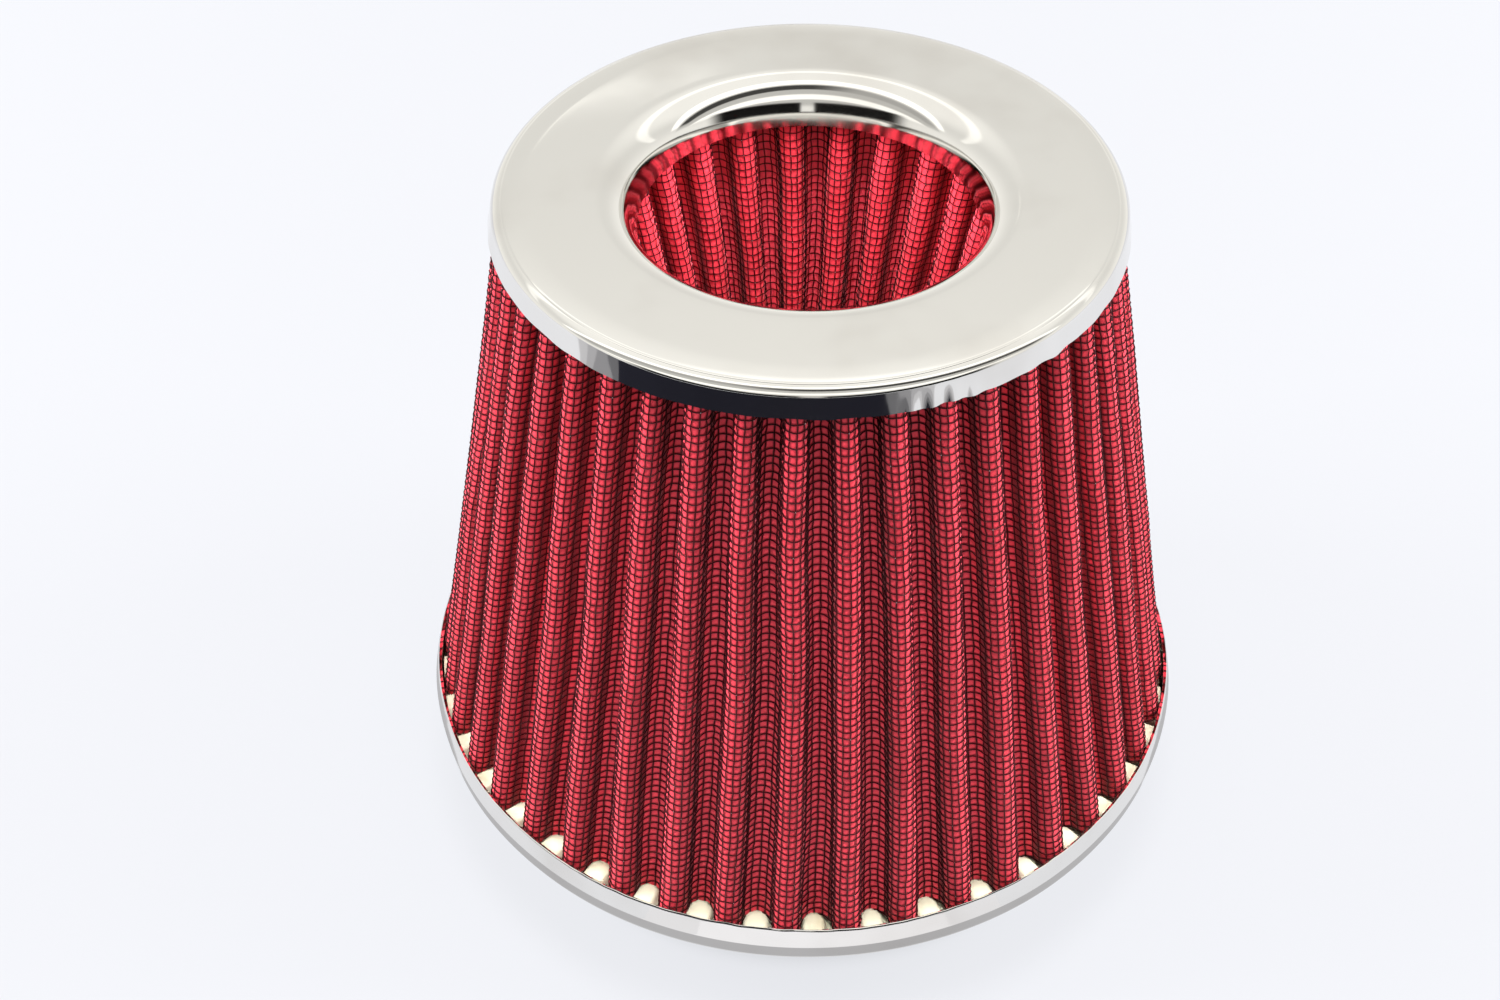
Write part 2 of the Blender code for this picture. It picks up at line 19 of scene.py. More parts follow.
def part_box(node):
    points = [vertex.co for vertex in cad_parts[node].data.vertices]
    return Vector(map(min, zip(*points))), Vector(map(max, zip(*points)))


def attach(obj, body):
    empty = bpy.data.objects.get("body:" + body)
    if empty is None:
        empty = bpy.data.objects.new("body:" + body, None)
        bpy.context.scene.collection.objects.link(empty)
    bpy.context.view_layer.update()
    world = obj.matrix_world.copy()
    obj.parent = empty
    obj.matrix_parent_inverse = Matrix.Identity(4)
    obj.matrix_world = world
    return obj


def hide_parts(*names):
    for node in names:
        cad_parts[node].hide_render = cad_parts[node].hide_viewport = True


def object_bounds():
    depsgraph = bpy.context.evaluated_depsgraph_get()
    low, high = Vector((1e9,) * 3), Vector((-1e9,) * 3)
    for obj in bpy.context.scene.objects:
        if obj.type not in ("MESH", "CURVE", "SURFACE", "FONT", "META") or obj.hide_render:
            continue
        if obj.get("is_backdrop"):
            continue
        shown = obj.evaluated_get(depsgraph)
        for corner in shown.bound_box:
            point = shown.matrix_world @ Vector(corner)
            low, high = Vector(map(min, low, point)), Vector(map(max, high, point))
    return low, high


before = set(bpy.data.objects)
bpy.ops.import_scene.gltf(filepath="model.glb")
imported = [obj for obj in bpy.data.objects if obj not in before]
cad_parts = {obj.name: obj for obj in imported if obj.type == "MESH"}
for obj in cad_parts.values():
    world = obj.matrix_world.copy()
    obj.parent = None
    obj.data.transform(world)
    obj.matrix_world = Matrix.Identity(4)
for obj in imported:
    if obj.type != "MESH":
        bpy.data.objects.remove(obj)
CAD_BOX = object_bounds()
LOG = logging.getLogger("cone_air_filter")

Array = np.ndarray
Chance = np.random.Generator
Material = bpy.types.Material
Socket = bpy.types.NodeSocket
Triple = tuple[float, float, float]
Pair = tuple[float, float]
Outline = list[Pair]


class Body(Enum):
    """The bodies that pieces ride on."""

    FILTER = "filter"
    CLAMP = "clamp"
    SCREW = "worm_screw"


class Slot(Enum):
    """The record's material slots."""

    CHROME = "chrome"
    GAUZE = "red_gauze"
    WIRE = "coated_wire"
    POTTING = "cream_potting"
    RUBBER = "black_rubber"
    ZINC = "zinc_steel"
    STRIP = "seam_strip"


# --- Shader nodes -------------------------------------------------------------------------------

Value = Union["Num", float]


def operator(operation: str, reflected: bool = False) -> Callable[..., "Num"]:
    """A method of Num that adds a Math node.

    Args:
        operation: The Math node's operation.
        reflected: Whether the number itself is the node's second input.

    Returns:
        The method. It takes the other number where the operation has one.
    """

    def method(self: "Num", *others: Value) -> "Num":
        """Add the node and take its result."""
        return self._math(operation, *((*others, self) if reflected else (self, *others)))

    return method


class Num:
    """A number socket. Operators on it add Math nodes."""

    def __init__(self, maker: "NodeMaker", socket: Socket) -> None:
        """Wrap a socket of a maker's tree."""
        self.maker = maker
        self.socket = socket

    def _math(self, operation: str, *values: Value) -> "Num":
        """Add a Math node.

        Args:
            operation: The Math node's operation.
            values: Its inputs, in order.

        Returns:
            The node's result.
        """
        return self.maker.number("ShaderNodeMath", 0, {"operation": operation}, dict(enumerate(values)))

    __add__ = __radd__ = operator("ADD")
    __mul__ = __rmul__ = operator("MULTIPLY")
    __sub__, __rsub__ = operator("SUBTRACT"), operator("SUBTRACT", reflected=True)
    __truediv__, __rtruediv__ = operator("DIVIDE"), operator("DIVIDE", reflected=True)
    __pow__, __rpow__ = operator("POWER"), operator("POWER", reflected=True)
    larger = operator("MAXIMUM")
    absolute, sine, fraction = operator("ABSOLUTE"), operator("SINE"), operator("FRACT")

    def band(self, middle: float, inner: float, outer: float, height: float) -> "Num":
        """That height within inner of a middle, falling to 0 at outer."""
        return (self - middle).absolute().ramp(inner, outer, height, 0.0)

    def ramp(self, low: float, high: float, start: float = 0.0, end: float = 1.0) -> "Num":
        """Map a range to another, smoothly and clamped.

        Args:
            low: Where the result is start.
            high: Where the result is end.
            start: The result at low.
            end: The result at high.

        Returns:
            The mapped number.
        """
        return self.maker.number(
            "ShaderNodeMapRange",
            0,
            {"interpolation_type": "SMOOTHSTEP"},
            {"Value": self, "From Min": low, "From Max": high, "To Min": start, "To Max": end},
        )


Socketed = Union[Num, Socket, float, Triple]
EVEN: Triple = (1.0, 1.0, 1.0)  # a scale that changes nothing
Settings = dict[str, object]
Sockets = dict[Union[str, int], Socketed]


class NodeMaker:
    """Adds nodes to one tree."""

    def __init__(self, tree: bpy.types.NodeTree) -> None:
        """Start on an empty tree."""
        self.tree = tree
        self.tree.nodes.clear()

    def node(
        self, kind: str, settings: Optional[Settings] = None, sockets: Optional[Sockets] = None
    ) -> bpy.types.Node:
        """Add a node of any type.

        Args:
            kind: The node's type.
            settings: Its properties, set first.
            sockets: Values or links of its inputs, by name or by number.

        Returns:
            The node.
        """
        made = self.tree.nodes.new(kind)
        for key, value in (settings or {}).items():
            setattr(made, key, value)
        for key, value in (sockets or {}).items():
            self.feed(made.inputs[key], value)
        return made

    def feed(self, target: Socket, value: Socketed) -> None:
        """Link a socket to an input, or set the input's own value."""
        if isinstance(value, Num):
            value = value.socket
        if isinstance(value, Socket):
            self.tree.links.new(value, target)
        elif isinstance(value, tuple) and target.type == "RGBA":
            target.default_value = (*value, 1.0)
        else:
            target.default_value = value

    def number(
        self,
        kind: str,
        output: Union[str, int],
        settings: Optional[Settings] = None,
        sockets: Optional[Sockets] = None,
    ) -> Num:
        """Add a node and take one output of it as a number."""
        return Num(self, self.node(kind, settings, sockets).outputs[output])

    def place(self, output: str = "Object") -> Socket:
        """Texture coordinates of that kind."""
        return self.node("ShaderNodeTexCoord").outputs[output]

    def axes(self, vector: Socket) -> tuple[Num, Num, Num]:
        """The three numbers of a vector."""
        split = self.node("ShaderNodeSeparateXYZ", None, {0: vector})
        return tuple(Num(self, socket) for socket in split.outputs)

    def noise(self, place: Socket, size: float, detail: float, stretch: Triple = EVEN) -> Num:
        """Soft noise from 0 to 1.

        Args:
            place: Coordinates in metres.
            size: How far apart its lumps are, in metres.
            detail: Octaves of finer lumps.
            stretch: Scale of the coordinates along each axis.

        Returns:
            The noise.
        """
        if stretch != EVEN:
            settings = {"operation": "MULTIPLY"}
            place = self.node("ShaderNodeVectorMath", settings, {0: place, 1: stretch}).outputs[0]
        sockets = {"Vector": place, "Scale": 1.0 / size, "Detail": detail, "Roughness": 0.55}
        return self.number("ShaderNodeTexNoise", 0, None, sockets)

    def mix(self, share: Value, first: Socketed, second: Socketed) -> Socket:
        """Mix two colours by a share from 0, the first, to 1, the second."""
        settings = {"data_type": "RGBA", "clamp_factor": True}
        return self.node("ShaderNodeMix", settings, {0: share, 6: first, 7: second}).outputs[2]


class Shader(NodeMaker):
    """A material with one Principled shader and the nodes that feed it."""

    def __init__(self, name: str) -> None:
        """Start an empty material of that name."""
        self.material = bpy.data.materials.new(name)
        self.material.use_nodes = True
        super().__init__(self.material.node_tree)
        self.surface = self.node("ShaderNodeBsdfPrincipled")
        self.node("ShaderNodeOutputMaterial", None, {"Surface": self.surface.outputs[0]})

    def bump(self, height: Num, depth: float) -> None:
        """Feed the shader's normal with a height from 0 to 1, that many metres deep."""
        sockets = {"Height": height, "Distance": depth, "Strength": 1.0}
        self.dress(Normal=self.node("ShaderNodeBump", None, sockets).outputs[0])

    def dress(self, **sockets: Socketed) -> None:
        """Set or feed the shader's sockets; an underscore in a name stands for a space."""
        for key, value in sockets.items():
            self.feed(self.surface.inputs[key.replace("_", " ")], value)


@dataclass(frozen=True)
class Finish:
    """A finish whose two tones, and gloss where it varies, follow a soft noise, over a bump of finer grain."""

    name: str
    tones: tuple[Triple, Triple]
    cloud: Pair  # size and detail of the noise
    turn: Optional[Pair]  # where the noise goes from the first tone to the second
    gloss: tuple[float, ...]  # one roughness, or a range of the noise and the roughness at its ends
    grain: Optional[Pair] = None  # size and detail of the bump
    depth: float = 0.0
    metallic: float = 0.0
    specular: float = 0.5
    brushed: bool = False  # gloss and bump follow fine lines drawn round the Z axis

    def material(self) -> Material:
        """Build the material."""
        shader = Shader(self.name)
        place = shader.place()
        cloud = shader.noise(place, *self.cloud)
        grain = shader.noise(place, *self.grain, (0.6, 0.6, 9.0) if self.brushed else EVEN) if self.grain else cloud
        varying = grain if self.brushed else cloud
        shader.dress(
            Metallic=self.metallic,
            Base_Color=shader.mix(cloud.ramp(*self.turn) if self.turn else cloud, *self.tones),
            Roughness=self.gloss[0] if len(self.gloss) == 1 else varying.ramp(*self.gloss),
            Specular_IOR_Level=self.specular,
        )
        if self.depth:
            shader.bump(grain, self.depth)
        return shader.material


@dataclass(frozen=True)
class RedGauze:
    """Oiled red cotton gauze: woven threads, darker at random where more oil has soaked in, with painted shade along
    the wires and on the pleats' walls and painted light on the pleats' floors.
    """

    name: str = "outer_gauze"
    cells: int = 12  # round one pleat
    wire_shade_share: float = 0.9  # how much of the painted shade shows beside a wire
    colour: Triple = (0.74, 0.036, 0.064)
    soaked: Triple = (0.56, 0.020, 0.039)
    # painted shade beside the wires, where they shadow the gauze
    wire_shade: Triple = (0.24, 0.004, 0.012)
    valley_light: Triple = (1.0, 0.066, 0.105)  # painted light on the floors of the pleats
    wall_shade: Triple = (0.11, 0.004, 0.008)  # painted shade on the walls of the pleats
    threads: float = 3.4  # across one cell of the screen
    wall: float = 0.27  # where a pleat's wall stands, in pleats from the crown's middle
    weave_depth: float = 0.00005

    def material(self) -> Material:
        """Build the material."""
        shader = Shader(self.name)
        place = shader.place()
        across, along, _ = shader.axes(shader.place("UV"))
        turns = math.tau * self.threads
        weave = ((across * turns).sine() * (along * turns).sine()) * 0.5 + 0.5
        wire = (across.fraction() - 0.5).absolute().larger((along.fraction() - 0.5).absolute()) * 2.0
        oil = shader.noise(place, 0.009, 3.0)
        lint = shader.noise(place, 0.0007, 1.0)
        tone = shader.mix(oil.ramp(0.35, 0.75), self.colour, self.soaked)
        tone = shader.mix(lint.ramp(0.55, 0.85, 0.0, 0.35), tone, self.soaked)
        from_crown = ((across / float(self.cells)).fraction() - 0.5).absolute()
        # Painted light: the pleats' floors are lightened towards a brighter red.
        tone = shader.mix(from_crown.ramp(self.wall + 0.01, self.wall + 0.09, 0.0, 0.8), tone, self.valley_light)
        # Painted shade: the gauze darkens towards each wire.
        tone = shader.mix(wire.ramp(0.45, 1.0, 0.0, self.wire_shade_share), tone, self.wire_shade)
        shader.dress(
            # Painted shade: a band on each pleat's walls is darkened towards a near-black red.
            Base_Color=shader.mix(from_crown.band(self.wall, 0.02, 0.09, 0.75), tone, self.wall_shade),
            Roughness=0.62,
            Specular_IOR_Level=0.35,
            Sheen_Weight=0.15,
        )
        shader.bump(weave, self.weave_depth)
        return shader.material


@dataclass(frozen=True)
class BackScreen:
    """A coated screen over red gauze, drawn on the plain sheets that only show through the bore."""

    name: str = "back_screen"
    cell: float = 0.00145
    wire: float = 0.10

    def material(self) -> Material:
        """Build the material."""
        shader = Shader(self.name)
        x, y, z = shader.axes(shader.place())
        radius = (x * x + y * y) ** 0.5
        rows = ((z / self.cell).fraction() - 0.5).absolute()
        columns = ((radius / self.cell).fraction() - 0.5).absolute()
        grid = rows.larger(columns).ramp(0.5 - 2.0 * self.wire, 0.5 - self.wire)
        tone = shader.noise(shader.place(), 0.006, 3.0)
        red = shader.mix(tone, (0.52, 0.025, 0.040), (0.30, 0.012, 0.022))
        shader.dress(
            Base_Color=shader.mix(grid, red, (0.012, 0.008, 0.010)),
            Roughness=grid.ramp(0.0, 1.0, 0.65, 0.34),
        )
        shader.bump(grid, 0.0002)
        return shader.material


class Look(Enum):
    """The finishes, each listed with a material slot."""

    CHROME = Slot.CHROME, Finish(
        "chrome_plate", ((0.80, 0.79, 0.765), (0.70, 0.68, 0.65)), (0.030, 3.0), (0.45, 0.80),
        (0.35, 0.75, 0.05, 0.11), (0.012, 1.0), 0.00001, 1.0,
    )
    WIRE = Slot.WIRE, Finish(
        "coated_wire", ((0.032, 0.004, 0.006), (0.052, 0.013, 0.015)), (0.004, 1.0), (0.50, 0.75),
        (0.36,), specular=0.13,
    )
    CREST = Slot.WIRE, Finish(
        "worn_crest", ((0.86, 0.82, 0.82), (0.60, 0.56, 0.57)), (0.0006, 1.0), None, (0.30,), metallic=1.0
    )
    OUTER_GAUZE = Slot.GAUZE, RedGauze()
    # The inner gauze is the same cloth painted brighter, with little painted shade by the wires: painted light for the
    # throat.
    INNER_GAUZE = Slot.GAUZE, RedGauze("inner_gauze", 13, 0.2, (0.95, 0.049, 0.082), (0.82, 0.034, 0.058))
    POTTING = Slot.POTTING, Finish(
        "cream_potting", ((0.55, 0.53, 0.40), (0.46, 0.42, 0.29)), (0.006, 3.0), (0.45, 0.80),
        (0.50,), (0.0012, 2.0), 0.00004,
    )
    RUBBER = Slot.RUBBER, Finish(
        "black_rubber", ((0.016, 0.016, 0.017), (0.060, 0.058, 0.056)), (0.014, 4.0), (0.45, 0.85),
        (0.30, 0.80, 0.48, 0.68), (0.0008, 2.0), 0.00003,
    )
    ZINC = Slot.ZINC, Finish(
        "zinc_steel", ((0.60, 0.60, 0.60), (0.42, 0.42, 0.43)), (0.008, 3.0), (0.40, 0.80),
        (0.30, 0.75, 0.24, 0.40), (0.002, 2.0), 0.000015, 1.0, brushed=True,
    )
    BACK = Slot.WIRE, BackScreen()
    STRIP = Slot.STRIP, Finish(
        "seam_strip", ((0.74, 0.74, 0.75), (0.60, 0.60, 0.61)), (0.008, 3.0), (0.40, 0.80),
        (0.30, 0.75, 0.30, 0.46), (0.002, 2.0), 0.000015, 1.0, brushed=True,
    )


@cache
def material(look: Look) -> Material:
    """The material of a look, made once."""
    return look.value[1].material()


# --- Meshes -------------------------------------------------------------------------------------


def unit(vectors: Array) -> Array:
    """The vectors along the last axis, made one long."""
    return vectors / np.linalg.norm(vectors, axis=-1, keepdims=True)


def smooth(share: Array) -> Array:
    """Ease the ends of a share from 0 to 1."""
    return share * share * (3.0 - 2.0 * share)


def polar(radius: Array, angle: Array, height: Array) -> Array:
    """Points at those distances from the Z axis, angles and heights."""
    radius, angle, height = np.broadcast_arrays(radius, angle, height)
    return np.stack([radius * np.cos(angle), radius * np.sin(angle), height], axis=-1)


def added(name: str, data: Union[bpy.types.Mesh, bpy.types.Light, bpy.types.Camera]) -> bpy.types.Object:
    """A new object in the scene."""
    item = bpy.data.objects.new(name, data)
    bpy.context.scene.collection.objects.link(item)
    return item


@dataclass
class Shape:
    """Points and four-sided faces, with a flat coordinate for each point where it has one."""

    points: Array
    quads: Array
    flat: Optional[Array] = None

    @staticmethod
    def joined(shapes: list["Shape"]) -> "Shape":
        """One shape that holds all of them."""
        starts = np.cumsum([0] + [len(shape.points) for shape in shapes])
        points = np.concatenate([shape.points for shape in shapes])
        quads = np.concatenate([shape.quads + start for shape, start in zip(shapes, starts)])
        return Shape(points, quads)

    @staticmethod
    def grid(points: Array, wrap_rows: bool = False, wrap_columns: bool = False) -> "Shape":
        """A sheet of faces over a grid of points.

        Args:
            points: The points, as rows by columns by 3.
            wrap_rows: Join the last row to the first.
            wrap_columns: Join the last column to the first.

        Returns:
            The shape.
        """
        rows, columns = points.shape[:2]
        numbers = np.arange(rows * columns).reshape(rows, columns)
        if wrap_rows:
            numbers = np.concatenate([numbers, numbers[:1]], axis=0)
        if wrap_columns:
            numbers = np.concatenate([numbers, numbers[:, :1]], axis=1)
        corners = (numbers[:-1, :-1], numbers[:-1, 1:], numbers[1:, 1:], numbers[1:, :-1])
        quads = np.stack(corners, axis=-1).reshape(-1, 4)
        return Shape(points.reshape(-1, 3), quads)

    def outward(self) -> "Shape":
        """The same closed shape with its faces turned outwards."""
        corners = self.points[self.quads]
        across = np.cross(corners[:, 2] - corners[:, 0], corners[:, 3] - corners[:, 1])
        volume = np.einsum("ij,ij->i", corners.mean(axis=1), across).sum()
        quads = self.quads if volume > 0.0 else self.quads[:, ::-1]
        return Shape(self.points, quads, self.flat)

    def capped(self, count: int, sections: int) -> "Shape":
        """The same strip of closed sections with both ends filled.

        Args:
            count: Points of a section, whose second half runs back along its first.
            sections: How many sections the strip has.

        Returns:
            The closed shape, facing outwards.
        """
        near = np.arange(count // 2 - 1)
        far = count - 1 - near
        cap = np.stack([near, near + 1, far - 1, far], axis=1)
        quads = np.concatenate([self.quads, cap[:, ::-1], cap + (sections - 1) * count])
        return Shape(self.points, quads).outward()

    def mesh(self, name: str) -> bpy.types.Mesh:
        """A smooth-shaded Blender mesh. A face that repeats a corner becomes a triangle."""
        mesh = bpy.data.meshes.new(name)
        same = self.quads == np.roll(self.quads, 1, axis=1)
        if same.any():
            faces = [list(dict.fromkeys(face)) for face in self.quads.tolist()]
            mesh.from_pydata(self.points.tolist(), [], faces)
        else:
            mesh.vertices.add(len(self.points))
            mesh.vertices.foreach_set("co", self.points.astype(np.float32).ravel())
            mesh.loops.add(4 * len(self.quads))
            mesh.loops.foreach_set("vertex_index", self.quads.astype(np.int32).ravel())
            mesh.polygons.add(len(self.quads))
            mesh.polygons.foreach_set("loop_start", np.arange(len(self.quads), dtype=np.int32) * 4)
        mesh.update(calc_edges=True)
        if self.flat is not None:
            layer = mesh.uv_layers.new(name="flat")
            layer.uv.foreach_set("vector", self.flat[self.quads.ravel()].astype(np.float32).ravel())
        mesh.shade_smooth()
        return mesh


@dataclass
class Piece:
    """How a finished shape becomes a piece of the object."""

    name: str
    look: Look
    replaces: tuple[str, ...] = ()
    sharp_deg: float = 0.0
    body: Body = Body.FILTER

    def add(self, shape: Shape) -> None:
        """Make the piece from its surface and let it ride on its body."""
        mesh = shape.mesh(self.name)
        if self.sharp_deg:
            mesh.set_sharp_from_angle(angle=math.radians(self.sharp_deg))
        mesh.materials.append(material(self.look))
        item = added(self.name, mesh)
        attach(item, self.body.value)
        if self.replaces:
            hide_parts(*self.replaces)
        LOG.info("%s: %d points, %d faces", self.name, len(mesh.vertices), len(mesh.polygons))


Warp = Callable[[Array, Array, Array], tuple[Array, Array]]


def arc(centre: Pair, radius: float, start_deg: float, end_deg: float, steps: int) -> Outline:
    """Points of an arc in a profile plane, both ends included."""
    turns = np.radians(np.linspace(start_deg, end_deg, steps + 1))
    return [(centre[0] + radius * math.cos(turn), centre[1] + radius * math.sin(turn)) for turn in turns]


def dense(path: Outline, step: float) -> Outline:
    """The same path with points no further apart than a step."""
    points = [path[0]]
    for start, end in zip(path, path[1:]):
        count = max(1, math.ceil(math.dist(start, end) / step))
        for index in range(1, count + 1):
            share = index / count
            points.append((start[0] + (end[0] - start[0]) * share, start[1] + (end[1] - start[1]) * share))
    return points


def sheet(path: Outline, thickness: float) -> Outline:
    """Closed outline of a sheet whose outer face follows a path and whose metal is on its right."""
    points = np.array(path)
    along = unit(np.gradient(points, axis=0))
    right = np.stack([along[:, 1], -along[:, 0]], axis=1)
    inside = points + right * thickness
    return path + [tuple(point) for point in inside[::-1]]


def turned(outline: Outline, steps: int, warp: Optional[Warp] = None) -> Shape:
    """A surface turned about Z.

    Args:
        outline: Radius and height of its points, round the closed section.
        steps: Points round the axis.
        warp: Changes radius and height by angle.

    Returns:
        The shape, facing outwards.
    """
    section = np.array(outline)
    angle = np.arange(steps)[None, :] * math.tau / steps
    radius = np.repeat(section[:, :1], steps, axis=1)
    height = np.repeat(section[:, 1:], steps, axis=1)
    if warp:
        radius, height = warp(radius, height, angle)
    return Shape.grid(polar(radius, angle, height), wrap_rows=True, wrap_columns=True).outward()


def ripple(rng: Chance, angle: Array, waves: tuple[int, int], count: int) -> Array:
    """Smooth random waves round a circle, about -1 to 1.

    Args:
        rng: Source of chance.
        angle: Angles to read them at.
        waves: Fewest and most waves round the circle.
        count: How many waves are added up.

    Returns:
        The waves' height at each angle.
    """
    total = np.zeros_like(angle)
    for _ in range(count):
        total = total + np.sin(angle * rng.integers(*waves) + rng.uniform(0.0, math.tau))
    return total / math.sqrt(count)


def patch(angle: Array, middle_deg: float, half_deg: float) -> Array:
    """1 at an angle, falling smoothly to 0 at half_deg to either side."""
    away = np.abs((angle - math.radians(middle_deg) + math.pi) % math.tau - math.pi)
    return np.clip(1.0 - (away / math.radians(half_deg)) ** 2, 0.0, 1.0) ** 2


# --- Pleated cones ------------------------------------------------------------------------------


OCTAGON_SIDE = 0.207  # half a side of an octagon, as a share of its width
OCTAGON_CORNER = 0.586  # how far a corner stands from the middle of a side, in half widths
ROOT_TWO = 1.414


@dataclass
class PleatedCone:
    """A pleated cone of red gauze under a wire screen.

    The plan of a pleat is a smooth curve drawn by a floor, a crown and the walls between them.
    The screen's cells are laid along that curve, so they keep their width round crown and floor.
    """

    name: str
    low: float
    high: float
    pleats: int = 42
    first_valley_deg: float = 270.9
    ridges: Pair = (0.0761, 0.0549)  # radius of the crowns at the lower and the upper end
    facing: int = 1  # +1 where the open face looks away from the axis, -1 where it looks at it
    crown: Pair = (0.50, 0.52)  # share of a pleat at the lower and the upper end
    floor: Pair = (0.43, 0.43)
    cells: int = 12  # round one pleat
    rows: int = 78
    sectors: int = 6
    seed: int = 21
    depth: float = 0.0058
    wander: float = 0.00035
    row_wander: float = 0.00030
    wire_radius: float = 0.00011
    across_radius: float = 0.00013
    pillow: float = 0.00010  # height of the gauze in the middle of a cell, over the screen's middle
    pillow_side: float = -0.00020
    pillow_corner: float = -0.00034
    curve_steps: int = 10
    uneven: float = 0.00007  # how far a crossing strays along the face
    worn_share: float = 0.30
    worn_reach: float = 1.2  # cells to either side of a crown's middle

    def drift(self, rng: Chance, rows: int, columns: int, knots: int) -> Array:
        """Slow random change from -1 to 1 along the rows, with its own run for each column."""
        values = rng.uniform(-1.0, 1.0, (knots + 1, columns))
        place = np.linspace(0.0, knots - 1e-6, rows)
        start = place.astype(int)
        share = smooth(place - start)[:, None]
        return values[start] * (1.0 - share) + values[start + 1] * share

    def control(self, rng: Chance, share: Array) -> Array:
        """Plan corners of every pleat at each row, which draw a round floor, a round crown and steep walls.

        Args:
            rng: Source of chance.
            share: 0 at the lower end to 1 at the upper end, for each row.

        Returns:
            Rows by pleats by 10 by 2.
        """
        rows = len(share)
        share = share[:, None]
        ridge, crown, floor = (ends[0] + (ends[1] - ends[0]) * share for ends in (self.ridges, self.crown, self.floor))
        pitch = math.tau / self.pleats
        turn = self.drift(rng, rows, self.pleats, 4) * self.wander / ridge
        width = 1.0 + 0.09 * self.drift(rng, rows, self.pleats, 5)
        reach = self.drift(rng, rows, self.pleats, 4) * self.wander * 0.7
        crown = crown * width
        middle = math.radians(self.first_valley_deg) + np.arange(self.pleats)[None, :] * pitch + turn
        valley = ridge - self.facing * self.depth + 0.4 * reach
        peak = ridge - self.facing * np.abs(reach)
        crown_size = self.facing * ridge * pitch * crown / 2
        floor_size = self.facing * (ridge - self.facing * self.depth) * pitch * floor / 2
        half = (
            (valley, floor * OCTAGON_SIDE),
            (valley + floor_size * OCTAGON_CORNER, floor / 2),
            (peak - crown_size * ROOT_TWO, 0.5 - crown / 2),
            (peak - crown_size * OCTAGON_CORNER, 0.5 - crown / 2),
            (peak, 0.5 - crown * OCTAGON_SIDE),
        )
        mirrored = tuple((radius, 1.0 - offset) for radius, offset in reversed(half))
        corners = [polar(radius, middle + offset * pitch, 0.0)[..., :2] for radius, offset in half + mirrored]
        return np.stack(corners, axis=2)

    def lattice(self) -> tuple[Array, Array]:
        """Points and outward normals of the face at every half cell.

        Returns:
            Two arrays of half rows by half columns by 3.
        """
        rng = np.random.default_rng(self.seed)
        rows = 2 * self.rows + 1
        share = np.linspace(0.0, 1.0, rows)
        corners = self.control(rng, share).reshape(rows, -1, 2)
        starts = ((corners + np.roll(corners, 1, axis=1)) / 2)[:, :, None, :]
        ends = ((corners + np.roll(corners, -1, axis=1)) / 2)[:, :, None, :]
        knots = corners[:, :, None, :]
        t = (np.arange(self.curve_steps) / self.curve_steps)[:, None]
        curve = (1 - t) ** 2 * starts + 2 * t * (1 - t) * knots + t**2 * ends
        curve = curve.reshape(rows, -1, 2)
        per_pleat = corners.shape[1] // self.pleats * self.curve_steps
        columns = 2 * self.cells * self.pleats
        target = np.arange(columns) / 2.0
        slip = self.drift(rng, rows, self.pleats, 3) * 0.35
        lift = self.drift(rng, rows, self.pleats, 6) * self.row_wander
        points = np.empty((rows, columns, 3))
        height = self.low + (self.high - self.low) * share
        pleat = np.arange(self.pleats)
        total = float(self.cells * self.pleats)
        centres = (pleat + 0.5) * self.cells
        for row in range(rows):
            path = np.concatenate([curve[row], curve[row, :1]])
            steps = np.linalg.norm(np.diff(path, axis=0), axis=1).reshape(self.pleats, per_pleat)
            run = np.cumsum(steps, axis=1) / steps.sum(axis=1, keepdims=True)
            cells = np.concatenate([[0.0], (pleat[:, None] + run).ravel() * self.cells])
            move = np.interp(target, centres, slip[row], period=total)
            rise = np.interp(target, centres, lift[row], period=total)
            for axis in range(2):
                points[row, :, axis] = np.interp(target + move, cells[:-1], curve[row, :, axis], period=total)
            points[row, :, 2] = height[row] + rise * math.sin(math.pi * share[row])
        points += self.jitter(rng, points)
        along = np.roll(points, -1, axis=1) - np.roll(points, 1, axis=1)
        up = np.gradient(points, axis=0)
        return points, unit(np.cross(along, up) * self.facing)

    def jitter(self, rng: Chance, points: Array) -> Array:
        """Small uneven shifts of the crossings along the face, shared out to the half cells between."""
        along = unit(np.roll(points, -1, axis=1) - np.roll(points, 1, axis=1))
        rows, columns = points.shape[:2]
        shift = np.zeros((rows, columns, 2))
        shift[::2, ::2] = rng.normal(0.0, self.uneven, ((rows + 1) // 2, columns // 2, 2))
        shift[1::2, ::2] = (shift[:-1:2, ::2] + shift[2::2, ::2]) / 2
        shift[:, 1::2] = (shift[:, ::2] + np.roll(shift[:, ::2], -1, axis=1)) / 2
        shift[[0, -1]] = 0.0
        move = along * shift[:, :, :1]
        move[:, :, 2] += shift[:, :, 1]
        return move

    def tubes(self, centres: Array, normal: Array, radius: float) -> Shape:
        """Wires along the rows of a grid of centres.

        Args:
            centres: Wires by points by 3.
            normal: The face's normal at each.
            radius: The wires' radius.

        Returns:
            Four-sided tubes with closed ends.
        """
        along = unit(np.gradient(centres, axis=1))
        side = unit(np.cross(along, normal))
        crest = np.cross(side, along)
        points = np.stack([centres + offset * radius for offset in (crest, side, -crest, -side)], axis=2)
        wires, steps = points.shape[:2]
        numbers = np.arange(wires * steps * 4).reshape(wires, steps, 4)
        around = np.roll(numbers, -1, axis=2)
        walls = (numbers[:, :-1], around[:, :-1], around[:, 1:], numbers[:, 1:])
        quads = np.stack(walls, axis=-1).reshape(-1, 4)
        ends = np.concatenate([numbers[:, 0, ::-1], numbers[:, -1]])
        return Shape(points.reshape(-1, 3), np.concatenate([quads, ends]))

